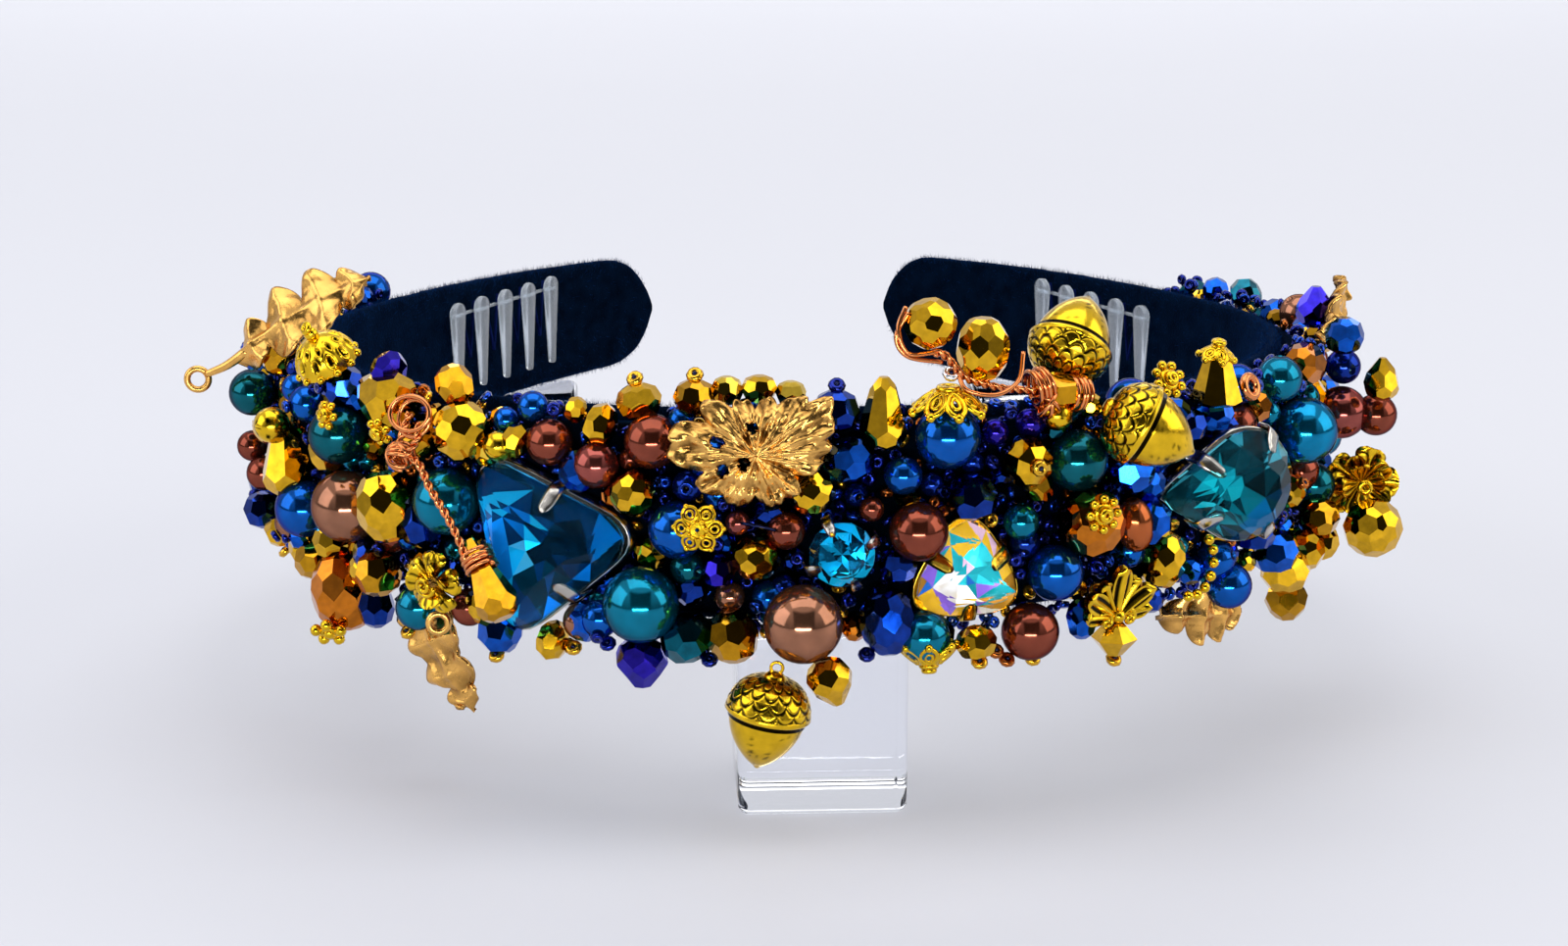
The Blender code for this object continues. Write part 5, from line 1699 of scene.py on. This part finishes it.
Casting = namedtuple("Casting", "kind station height stand_off turn lean swing", defaults=(0,))
CASTINGS = (
    Casting("daisy", 30.2, 15.1, 14.0, 0, 0),
    Casting("daisy", 41.8, 30.0, 9.5, 10, 30),
    Casting("small daisy", -61.3, 23.6, 13.2, 0, 10),
    Casting("small daisy", -53.0, 22.9, 12.4, 20, -20),
    Casting("blossom", -66.9, -8.3, 10.0, 20, -40, 45),
    Casting("pierced ball", -79.1, 17.9, 11.0, 0, 0),
    Casting("low cap", 11.8, -4.1, 8.4, 0, -78),
    Casting("cone cap", 50.9, 32.6, 8.6, 0, 80),
    Casting("ring", 56.7, 26.4, 9.3, 0, 20),
    Casting("nugget", -38.5, 22.6, 8.6, 30, 0),
    Casting("nugget", 26.9, 27.2, 8.6, 0, 0),
)


def casting_shapes():
    """The small cast spacers sewn among the beads, by kind."""
    seed = placed(torus(0.62, 0.44, 12, 8), shifted(0.0, 0.0, 0.7))
    # The pierced ball has no holes cut: dark spots in a ring pattern are painted shade where its
    # holes would be
    pierced = ball(5.0, 40, 28)
    holes = [min(1.0, max(0.0, (math.cos(6 * math.atan2(y, x)) * math.cos(2.6 * z) - 0.62) * 9))
             for x, y, z in pierced.points]
    nugget = ball(4.0, 24, 16)
    lines = [min(1.0, max(0.0, math.sin(3.2 * x + 1.7 * y) * math.sin(2.9 * y - z) * 4 - 2.4))
             for x, y, z in nugget.points]
    return {
        "daisy": joined(daisy(8, 2.0, 1.35), torus(1.1, 0.42, 18, 8), seed),
        "small daisy": joined(daisy(6, 1.5, 1.2), seed),
        "blossom": joined(daisy(5, 1.8, 1.7), ball(1.8, 10, 8)),
        "pierced ball": pierced._replace(wear=np.array(holes)),
        "low cap": joined(filigree_cap(7, 3.8, 2.6, 0.34), seed),
        "cone cap": joined(filigree_cap(6, 2.4, 1.4, 0.30), seed),
        "ring": torus(1.35, 0.62, 22, 10),
        "nugget": nugget._replace(wear=np.array(lines)),
    }


def small_castings():
    """Cast spacers among the beads, and the string of gold balls under one large bead."""
    shapes = casting_shapes()
    for name, side in (("left", -1), ("right", 1)):
        piece = Piece("small_castings_" + name, ANTIQUE_GOLD, "seed_beads", "bead_field_" + name)
        for one in CASTINGS:
            if one.station * side > 0:
                place = seat(one.station, one.height, one.stand_off, one.turn, one.lean,
                             one.swing)
                tint = "copper_wire" if one.kind == "ring" else "antique"
                piece.add(shapes[one.kind], place, tint)
        if side > 0:
            for step in range(7):
                angle = math.radians(-105 + 25 * step)
                spot = on_band(46.1 + 3.3 * math.cos(angle), 4.6 + 4.2 * math.sin(angle), 10.4)
                piece.add(ball(1.5, 12, 8), Matrix.Translation(spot), "antique")
        piece.make()


# Wire sprays

WIRE = 0.30


def wire_spray_left():
    """A wire looped, knotted and twisted down to the drop bead that it is wrapped round."""
    piece = Piece("wire_spray_left_wound", COPPER, "copper_wire", "wire_spray_left")
    stem = smooth_path([on_band(*p) for p in (
        (-50.6, 25.3, 9.6), (-49.4, 21.4, 13.0), (-46.0, 20.4, 14.0), (-44.2, 17.7, 14.5),
        (-42.0, 15.0, 15.0), (-40.0, 11.9, 15.4), (-38.8, 9.2, 15.8))], 14)
    piece.add(twisted(stem, WIRE, 2.8), None, "copper_wire")
    second = smooth_path([on_band(*p) for p in (
        (-47.0, 25.0, 12.4), (-46.2, 23.4, 13.8), (-47.4, 21.2, 14.4))], 10)
    piece.add(twisted(second, WIRE * 0.9, 2.4), None, "copper_wire")
    ring = seat(-47.6, 26.4, 13.2, 0.0, 20.0, 16.0)
    piece.add(scaled(torus(2.5, WIRE * 1.15, 30, 8), 1.1, 0.9, 1.0), ring, "copper_wire")
    piece.add(scaled(torus(2.2, WIRE, 30, 8), 1.0, 1.1, 1.0), ring @ shifted(0.5, -0.5, -0.5),
              "copper_wire")
    knot = seat(-48.6, 20.8, 13.8, 0.0, 0.0, -30.0)
    for turn, tilt, seed in ((20, 70, 2), (75, 50, 5), (130, 80, 6), (10, 20, 8)):
        piece.add(coil(1.65, WIRE, 1.6, 0.62, 0.15, seed),
                  knot @ spun(turn) @ Matrix.Rotation(math.radians(tilt), 4, "X"),
                  "copper_wire")
    drop = seat(-37.0, 6.8, 14.6, 36.0, 0.0, -20.0) @ UPRIGHT
    piece.add(coil(2.0, WIRE, 4.4, 0.62, 0.06, 3), drop @ shifted(0, 0, 2.6), "copper_wire")
    piece.make()
    single("wire_drop_left_cut", GOLD_GLASS, "copper_wire", cut_bead("drop", 5.2, 12.0), drop,
           "gold_deep", ("wire_spray_left",))


def wire_spray_right():
    piece = Piece("wire_spray_right_wound", COPPER, "copper_wire", "wire_spray_right")
    stem = smooth_path([on_band(*p) for p in (
        (25.6, 27.8, 6.4), (24.0, 30.4, 8.4), (19.6, 31.4, 8.6), (15.4, 33.2, 9.0),
        (12.6, 36.4, 9.4), (8.9, 36.6, 9.6), (7.8, 39.6, 9.0), (8.8, 42.2, 8.0))], 12)
    piece.add(twisted(stem[:52], WIRE, 2.4), None, "copper_wire")
    piece.add(tube(stem[50:], WIRE, 6), None, "copper_wire")
    second = smooth_path([on_band(*p) for p in (
        (9.0, 41.6, 8.6), (7.6, 38.6, 8.8), (8.8, 36.2, 9.2), (12.8, 35.2, 9.0))], 10)
    piece.add(tube(second, WIRE, 6), None, "copper_wire")
    low = smooth_path([on_band(*p) for p in (
        (14.6, 34.0, 8.6), (15.2, 31.9, 10.6), (18.4, 31.2, 11.2), (21.2, 32.6, 10.4),
        (22.4, 35.8, 8.8))], 10)
    piece.add(tube(low, WIRE, 6), None, "copper_wire")
    along = Matrix.Rotation(math.pi / 2, 4, "Y")
    piece.add(coil(2.2, WIRE, 4.2, 0.6, 0.14, 7), seat(24.6, 31.2, 8.8, 12.0) @ along,
              "copper_wire")
    piece.add(coil(2.15, WIRE, 3.6, 0.6, 0.12, 9), seat(29.2, 29.8, 8.8, -8.0) @ along,
              "copper_wire")
    for tilt, seed in ((0, 11), (50, 12), (-40, 13)):
        piece.add(coil(1.9, WIRE, 1.2, 0.5, 0.2, seed),
                  seat(25.2, 29.0, 9.4, tilt, 30.0) @ along, "copper_wire")
    piece.make()
    beads = Piece("wire_beads_right_cut", GOLD_GLASS, "copper_wire", "wire_spray_right")
    beads.add(cut_bead("fine", 6.4, 6.4), seat(11.6, 40.0, 8.0, 20.0) @ UPRIGHT @ spun(9), "gold")
    beads.add(cut_bead("fine", 6.4, 8.4), seat(17.8, 36.4, 8.0) @ UPRIGHT @ spun(21), "gold")
    beads.add(cut_bead("small", 3.9, 6.8), seat(27.0, 30.2, 8.8) @ along, "gold_deep")
    beads.make()


# Small beads, placed one by one from the front and then by chance where the ground would show

Small = namedtuple("Small", "kind tint station height stand_off width length turn stopper")
SMALL_BEADS = (
    Small("round", "gold_deep", -88.0, 25.0, 6.5, 5.5, 5.5, 20, ""),
    Small("round", "cut_violet", -56.6, 29.4, 7.0, 5.1, 3.6, 80, ""),
    Small("pearl", "blue", -80.8, 22.2, 6.5, 4.4, 4.4, 0, ""),
    Small("pearl", "gold", -89.9, 14.7, 8.0, 5.2, 5.2, 40, ""),
    Small("drop", "gold", -79.1, 13.0, 9.0, 6.6, 11.0, 5, ""),
    Small("round", "gold", -89.0, -0.2, 7.0, 5.0, 5.0, 15, "seed_gold"),
    Small("round", "gold_deep", -75.5, -0.8, 7.0, 5.4, 5.4, 30, ""),
    Small("round", "gold_deep", -58.2, 1.9, 8.4, 5.8, 6.4, 10, ""),
    Small("round", "cut_navy", -61.0, -3.8, 6.6, 4.6, 5.9, 0, ""),
    Small("pearl", "teal", -52.5, -1.8, 7.0, 6.2, 6.2, 0, ""),
    Small("round", "cut_navy", -51.2, 10.5, 7.2, 6.4, 7.7, 10, ""),
    Small("round", "cut_blue", -40.0, -2.6, 6.6, 6.0, 5.6, 80, ""),
    Small("pearl", "brown", -44.7, -0.4, 6.4, 5.0, 5.0, 0, ""),
    Small("pearl", "blue", -38.9, 25.4, 6.0, 3.4, 3.4, 0, ""),
    Small("pearl", "blue", -35.4, 27.5, 5.6, 4.0, 4.0, 0, ""),
    Small("round", "gold", -36.8, 23.2, 7.4, 4.6, 3.4, 70, ""),
    Small("round", "gold_pale", -40.2, 21.6, 7.6, 4.4, 3.4, 60, ""),
    Small("pearl", "mauve", -26.5, 21.2, 7.6, 5.9, 5.9, 60, ""),
    Small("round", "gold", -26.2, 26.2, 6.6, 5.4, 4.2, 75, ""),
    Small("round", "gold", -21.8, 29.4, 5.6, 5.4, 4.8, 10, "seed_gold"),
    Small("round", "gold_deep", -15.1, 30.2, 5.6, 5.2, 4.8, 0, "seed_gold"),
    Small("round", "gold_pale", -11.4, 31.2, 5.4, 3.8, 3.8, 0, ""),
    Small("round", "gold", -7.6, 31.6, 5.4, 4.2, 3.4, 0, ""),
    Small("round", "gold_pale", -4.0, 31.0, 5.4, 3.6, 3.2, 0, ""),
    Small("pearl", "blue", -16.6, 27.4, 6.4, 3.4, 3.4, 0, ""),
    Small("round", "cut_navy", 1.3, 28.8, 5.8, 5.6, 5.4, 0, "seed_navy"),
    Small("round", "cut_blue", 2.7, 22.9, 7.4, 6.0, 5.6, 20, ""),
    Small("pearl", "blue", 8.8, 20.6, 7.4, 4.9, 4.9, 60, ""),
    Small("pearl", "mauve", -10.0, 14.7, 7.4, 3.2, 3.2, 0, ""),
    Small("pearl", "brown", -4.5, 13.8, 7.4, 4.9, 4.9, 70, ""),
    Small("pearl", "brown", 5.2, 16.4, 7.4, 3.2, 3.2, 0, ""),
    Small("round", "cut_violet", -12.1, 8.3, 7.2, 4.0, 4.4, 0, ""),
    Small("round", "cut_teal", -15.8, -0.6, 7.4, 6.8, 6.4, 30, ""),
    Small("round", "gold_deep", -10.5, 0.2, 8.4, 6.2, 7.2, 10, ""),
    Small("round", "cut_blue", -28.3, 0.4, 6.4, 5.6, 5.0, 60, ""),
    Small("round", "gold", -32.9, -3.0, 6.4, 5.0, 4.0, 80, "seed_gold"),
    Small("drop", "cut_violet", -21.4, -4.3, 7.0, 6.2, 6.9, 180, ""),
    Small("drop", "gold", 0.4, -5.0, 11.0, 5.5, 6.6, 200, ""),
    Small("pearl", "violet", 20.1, 25.2, 6.4, 3.4, 3.4, 60, ""),
    Small("pearl", "violet", 24.6, 25.9, 6.2, 3.8, 3.8, 60, ""),
    Small("round", "gold", 23.3, 21.5, 8.6, 6.0, 5.8, 30, "out"),
    Small("round", "cut_navy", 17.0, 17.3, 7.4, 6.2, 6.0, 10, ""),
    Small("pearl", "teal", 23.0, 13.5, 7.6, 4.7, 4.7, 0, ""),
    Small("pearl", "teal", 11.3, -0.4, 8.2, 6.6, 6.6, 0, ""),
    Small("round", "gold", 17.4, -1.6, 8.4, 5.0, 4.4, 10, "seed_gold"),
    Small("round", "cut_blue", 38.1, 18.1, 7.2, 6.2, 5.8, 20, ""),
    Small("pearl", "copper", 38.4, 11.0, 8.0, 5.1, 7.4, 10, ""),
    Small("round", "cut_blue", 31.7, -0.7, 7.0, 3.8, 5.7, 0, ""),
    Small("bicone", "gold", 35.8, -3.8, 8.0, 4.0, 4.8, 0, "seed_gold"),
    Small("pearl", "blue", 55.4, -0.8, 8.0, 6.3, 6.3, 0, ""),
    Small("round", "cut_blue", 67.4, 0.9, 7.6, 6.4, 6.0, 10, ""),
    Small("round", "gold", 69.4, -2.4, 8.4, 6.4, 5.6, 20, ""),
    Small("drop", "gold_deep", 70.6, -6.8, 8.2, 5.6, 5.6, 190, ""),
    Small("round", "gold", 75.8, -1.2, 8.6, 5.4, 5.4, 40, ""),
    Small("round", "gold_deep", 78.6, 3.0, 9.6, 5.6, 5.4, 10, ""),
    Small("round", "gold", 81.2, -1.4, 9.4, 5.0, 5.0, 70, "seed_gold"),
    Small("cone", "gold", 50.9, 28.6, 8.6, 4.9, 7.7, 0, ""),
    Small("round", "cut_blue", 52.0, 23.3, 7.2, 5.2, 5.0, 0, ""),
    Small("round", "cut_navy", 47.6, 22.6, 7.0, 4.8, 4.6, 0, ""),
    Small("pearl", "teal", 66.0, 25.4, 8.0, 6.3, 6.3, 0, ""),
    Small("round", "amber", 77.7, 24.8, 7.0, 5.6, 7.9, 80, ""),
    Small("round", "amber", 61.6, 22.6, 7.0, 4.4, 4.6, 30, ""),
    Small("pearl", "brown", 87.4, 15.8, 15.4, 6.0, 6.0, 0, ""),
    Small("pearl", "navy", 86.9, 22.6, 10.6, 5.0, 5.0, 0, ""),
    Small("drop", "cut_violet", 86.7, 31.0, 6.4, 5.2, 6.2, 0, ""),
    Small("round", "cut_blue", 83.0, 28.0, 11.0, 5.4, 5.4, 0, ""),
    Small("drop", "gold", 84.3, 21.9, 16.4, 4.6, 6.4, 0, ""),
    Small("pearl", "green", -92.2, 19.2, 10.0, 6.6, 6.6, 0, ""),
    Small("pearl", "brown", -94.2, 10.9, 10.0, 4.4, 4.4, 0, ""),
    Small("pearl", "brown", -91.1, 7.7, 9.0, 5.0, 5.0, 0, ""),
    Small("round", "cut_navy", -92.5, 1.9, 9.0, 5.4, 5.4, 0, ""),
    Small("round", "gold", -69.8, 3.4, 7.4, 4.8, 5.0, 0, ""),
    Small("round", "gold_deep", -46.4, 29.0, 6.0, 4.6, 5.7, 30, ""),
    Small("round", "cut_navy", 8.4, 8.8, 6.8, 4.6, 4.6, 0, ""),
    Small("round", "cut_blue", 44.6, 24.4, 7.2, 4.6, 4.4, 30, ""),
    Small("round", "cut_navy", 62.6, 4.6, 7.0, 5.4, 5.0, 0, ""),
)

# Chance beads: how often each kind is drawn, and its widths
Filler = namedtuple("Filler", "kind tint share least most")
FILLERS = (
    Filler("round", "cut_navy", 16, 3.2, 6.0), Filler("round", "cut_blue", 14, 3.2, 6.0),
    Filler("round", "gold", 14, 3.2, 6.2), Filler("round", "gold_deep", 6, 3.0, 5.4),
    Filler("pearl", "blue", 9, 3.0, 7.0), Filler("pearl", "teal", 9, 3.0, 7.0),
    Filler("pearl", "navy", 5, 3.0, 5.0), Filler("pearl", "brown", 8, 3.0, 7.0),
    Filler("pearl", "bronze", 5, 3.4, 8.0), Filler("pearl", "green", 4, 3.4, 7.0),
    Filler("round", "amber", 5, 3.4, 6.0), Filler("round", "cut_teal", 5, 3.4, 6.0),
)
SMALL_CLASSES = {
    "pearl": ("small_pearls", PEARL, "pearl_blue"),
    "gold": ("small_gold_beads", GOLD_GLASS, "bead_gold"),
    "blue": ("small_blue_beads", IRIS_GLASS, "bead_blue"),
}
CHANCE_TRIES = 7000
SMALLEST_AFTER = 4500
CHANCE_SEED_TRIES = 20000
SEED_TINTS = ("seed_navy",) * 11 + ("seed_blue",) * 5 + ("seed_gold",) * 3 + ("seed_amber",)


def bead_class(kind, tint):
    if kind == "pearl" and tint != "gold":
        return "pearl"
    return "gold" if tint.startswith(("gold", "amber")) else "blue"


class Strewn:
    """What is already sewn on: main pieces as a search tree, and small beads as balls."""

    def __init__(self):
        corners, faces, start = [], [], 0
        for name, node in frame["nodes"].items():
            if name.startswith(("velvet_band", "bead_field", "stand_block", "comb")):
                continue
            spots = [node.matrix_world @ v.co / MM for v in node.data.vertices]
            corners += spots
            faces += [[i + start for i in p.vertices] for p in node.data.polygons]
            start += len(spots)
        self.tree = BVHTree.FromPolygons(corners, faces)
        self.centres = np.zeros((0, 3))
        self.reaches = np.zeros(0)

    def room(self, spot, least):
        """Distance from a spot to what is sewn on, or -1 inside a solid."""
        near, normal, _, distance = self.tree.find_nearest(spot)
        if (spot - near).dot(normal) < 0:
            return -1.0
        if distance < least or not len(self.reaches):
            return distance
        gaps = np.linalg.norm(self.centres - np.array(spot), axis=1) - self.reaches
        return min(distance, gaps.min())

    def take(self, spot, reach):
        self.centres = np.vstack([self.centres, np.array(spot)])
        self.reaches = np.append(self.reaches, reach)


class SmallPieces:
    """The joined meshes of small beads, for the left and right half."""

    def __init__(self):
        self.pieces = {}
        self.shapes = {}

    def piece(self, group, station):
        side = half_of(station)
        key = (group, side)
        if key not in self.pieces:
            name, finish, slot = SMALL_CLASSES[group]
            self.pieces[key] = Piece(f"{name}_{side}", finish, slot, "bead_field_" + side)
        return self.pieces[key]

    def shape(self, kind, width, length):
        key = (kind, round(width, 1), round(length, 1))
        if key not in self.shapes:
            if kind == "pearl":
                made = drilled_ball(key[1], 22, 13)
                made = scaled(made, 1.0, 1.0, key[2] / key[1])
            else:
                made = cut_bead(kind, key[1], key[2])
            self.shapes[key] = made
        return self.shapes[key]


STOPPER_WIDTH = 2.3
CHANCE_STOPPER_WIDTH = 1.9
LOW_BEAD = 5.0
STOPPER_TILT = Matrix.Rotation(math.radians(-50.0), 4, "X")
EdgeSeed = namedtuple("EdgeSeed", "tint station height stand_off")
EDGE_SEEDS = (
    EdgeSeed("seed_navy", -25.2, -2.0, 8.0), EdgeSeed("seed_navy", -13.2, -3.2, 8.0),
    EdgeSeed("seed_navy", 4.6, -2.3, 8.5), EdgeSeed("seed_amber", 20.2, -3.4, 7.4),
    EdgeSeed("seed_amber", 21.6, -4.7, 7.4), EdgeSeed("seed_gold", 24.8, -4.9, 7.6),
    EdgeSeed("seed_gold", -40.0, -5.8, 7.6), EdgeSeed("seed_gold", -29.6, -3.2, 7.6),
    EdgeSeed("seed_gold", -53.9, -5.4, 7.6), EdgeSeed("clear", 13.9, 33.6, 8.6),
)


def sew_seed(seeds, place, width, tint):
    """A seed bead with the knot of thread that holds it."""
    seeds.add(seed_bead(width), place, tint, "thread")
    seeds.add(ball(width * 0.30, 6, 4), place @ shifted(0, 0, width * 0.12), "thread")


def small_beads(strewn, small, seeds, chance):
    for bead in SMALL_BEADS:
        place = seat(bead.station, bead.height, bead.stand_off, bead.turn)
        hole = place if bead.stopper == "out" else place @ UPRIGHT
        hole = hole @ spun(chance.uniform(0, 360))
        piece = small.piece(bead_class(bead.kind, bead.tint), bead.station)
        piece.add(small.shape(bead.kind, bead.width, bead.length), hole, bead.tint)
        strewn.take(place.translation, (bead.width + bead.length) / 4)
        if bead.stopper:
            tint = "seed_gold" if bead.stopper == "out" else bead.stopper
            end = -1 if bead.height < LOW_BEAD and bead.stopper != "out" else 1
            tip = hole @ shifted(0, 0, end * (bead.length / 2 + 0.5))
            turn = place if bead.stopper == "out" else place @ STOPPER_TILT
            sew_seed(seeds[half_of(bead.station)],
                     Matrix.Translation(tip.translation) @ turn.to_3x3().to_4x4(),
                     STOPPER_WIDTH, tint)


def edge_seeds(strewn, seeds):
    """Seed beads that end the threads under the lowest beads and on top of a cap."""
    for seed in EDGE_SEEDS:
        place = seat(seed.station, seed.height, seed.stand_off) @ STOPPER_TILT
        sew_seed(seeds[half_of(seed.station)], place, STOPPER_WIDTH, seed.tint)
        strewn.take(place.translation, 1.1)


def chance_beads(strewn, small, seeds, chance):
    """Beads dropped at random places where they clear what is there."""
    deck = [f for f in FILLERS for _ in range(f.share)]
    for attempt in range(CHANCE_TRIES):
        station = chance.uniform(-GROUND_END, GROUND_END)
        look = chance.choice(deck)
        width = chance.uniform(look.least, look.most)
        if attempt > SMALLEST_AFTER:
            width = look.least
        height = chance.uniform(-0.5, band_height(station) + 0.5)
        stand_off = GROUND_OUTER + width * chance.uniform(0.42, 0.75)
        spot = on_band(station, height, stand_off)
        room = strewn.room(spot, width / 2)
        if room < width / 2 * 0.94:
            continue
        strewn.take(spot, width / 2)
        lean = chance.gauss(0, 30)
        place = seat(station, height, stand_off, chance.uniform(0, 360), lean)
        place = place @ Matrix.Rotation(math.radians(chance.gauss(0, 40)), 4, "X")
        piece = small.piece(bead_class(look.kind, look.tint), station)
        length = width if look.kind == "pearl" else width * chance.uniform(0.8, 1.1)
        piece.add(small.shape(look.kind, width, length), place, look.tint)
        if chance.random() < 0.45:
            tip = place @ shifted(0, 0, length / 2 + 0.45)
            if strewn.room(tip.translation, 0.4) > 0.4:
                sew_seed(seeds[half_of(station)], tip, CHANCE_STOPPER_WIDTH,
                         chance.choice(SEED_TINTS))


def chance_seeds(strewn, seeds, chance):
    """Seed beads in what gaps are left, so that no bare ground shows."""
    for _ in range(CHANCE_SEED_TRIES):
        station = chance.uniform(-GROUND_END, GROUND_END)
        width = chance.uniform(1.7, 2.3)
        height = chance.uniform(-1.0, band_height(station) + 0.9)
        stand_off = GROUND_OUTER + chance.uniform(-0.4, 3.6)
        spot = on_band(station, height, stand_off)
        if strewn.room(spot, width * 0.5) < width * 0.5:
            continue
        strewn.take(spot, width * 0.48)
        place = (seat(station, height, stand_off, chance.uniform(0, 360))
                 @ Matrix.Rotation(math.radians(chance.gauss(0, 50)), 4, "X"))
        seeds[half_of(station)].add(seed_bead(width), place, chance.choice(SEED_TINTS), "thread")


def thread_between(seeds, start, end):
    """A bare strand of the sewing thread from bead to bead."""
    seeds.add(tube([start, (start + end) / 2 + Vector((0.0, -0.3, 0.2)), end], 0.24, 6), None,
              "thread")


def sewn_beads():
    chance = random.Random(21)
    strewn = Strewn()
    small = SmallPieces()
    seeds = {side: Piece("seed_beads_" + side, SEED_GLASS, "seed_beads", "bead_field_" + side)
             for side in ("left", "right")}
    small_beads(strewn, small, seeds, chance)
    edge_seeds(strewn, seeds)
    chance_beads(strewn, small, seeds, chance)
    chance_seeds(strewn, seeds, chance)
    thread_between(seeds["left"], on_band(-9.4, 15.2, 9.4), on_band(-5.6, 14.4, 9.6))
    for piece in list(small.pieces.values()) + list(seeds.values()):
        piece.make()


set_camera()
lay_floor()
light_room()
hang_lamps()
velvet_band()
sewn_ground()
for comb, where in COMB_STATIONS.items():
    hair_comb(comb, where)
stand_blocks()
main_pearls()
main_cut_beads()
set_stones()
oak_leaves()
leaf_centre()
acorns()
caps_and_flowers()
small_castings()
wire_spray_left()
wire_spray_right()
sewn_beads()
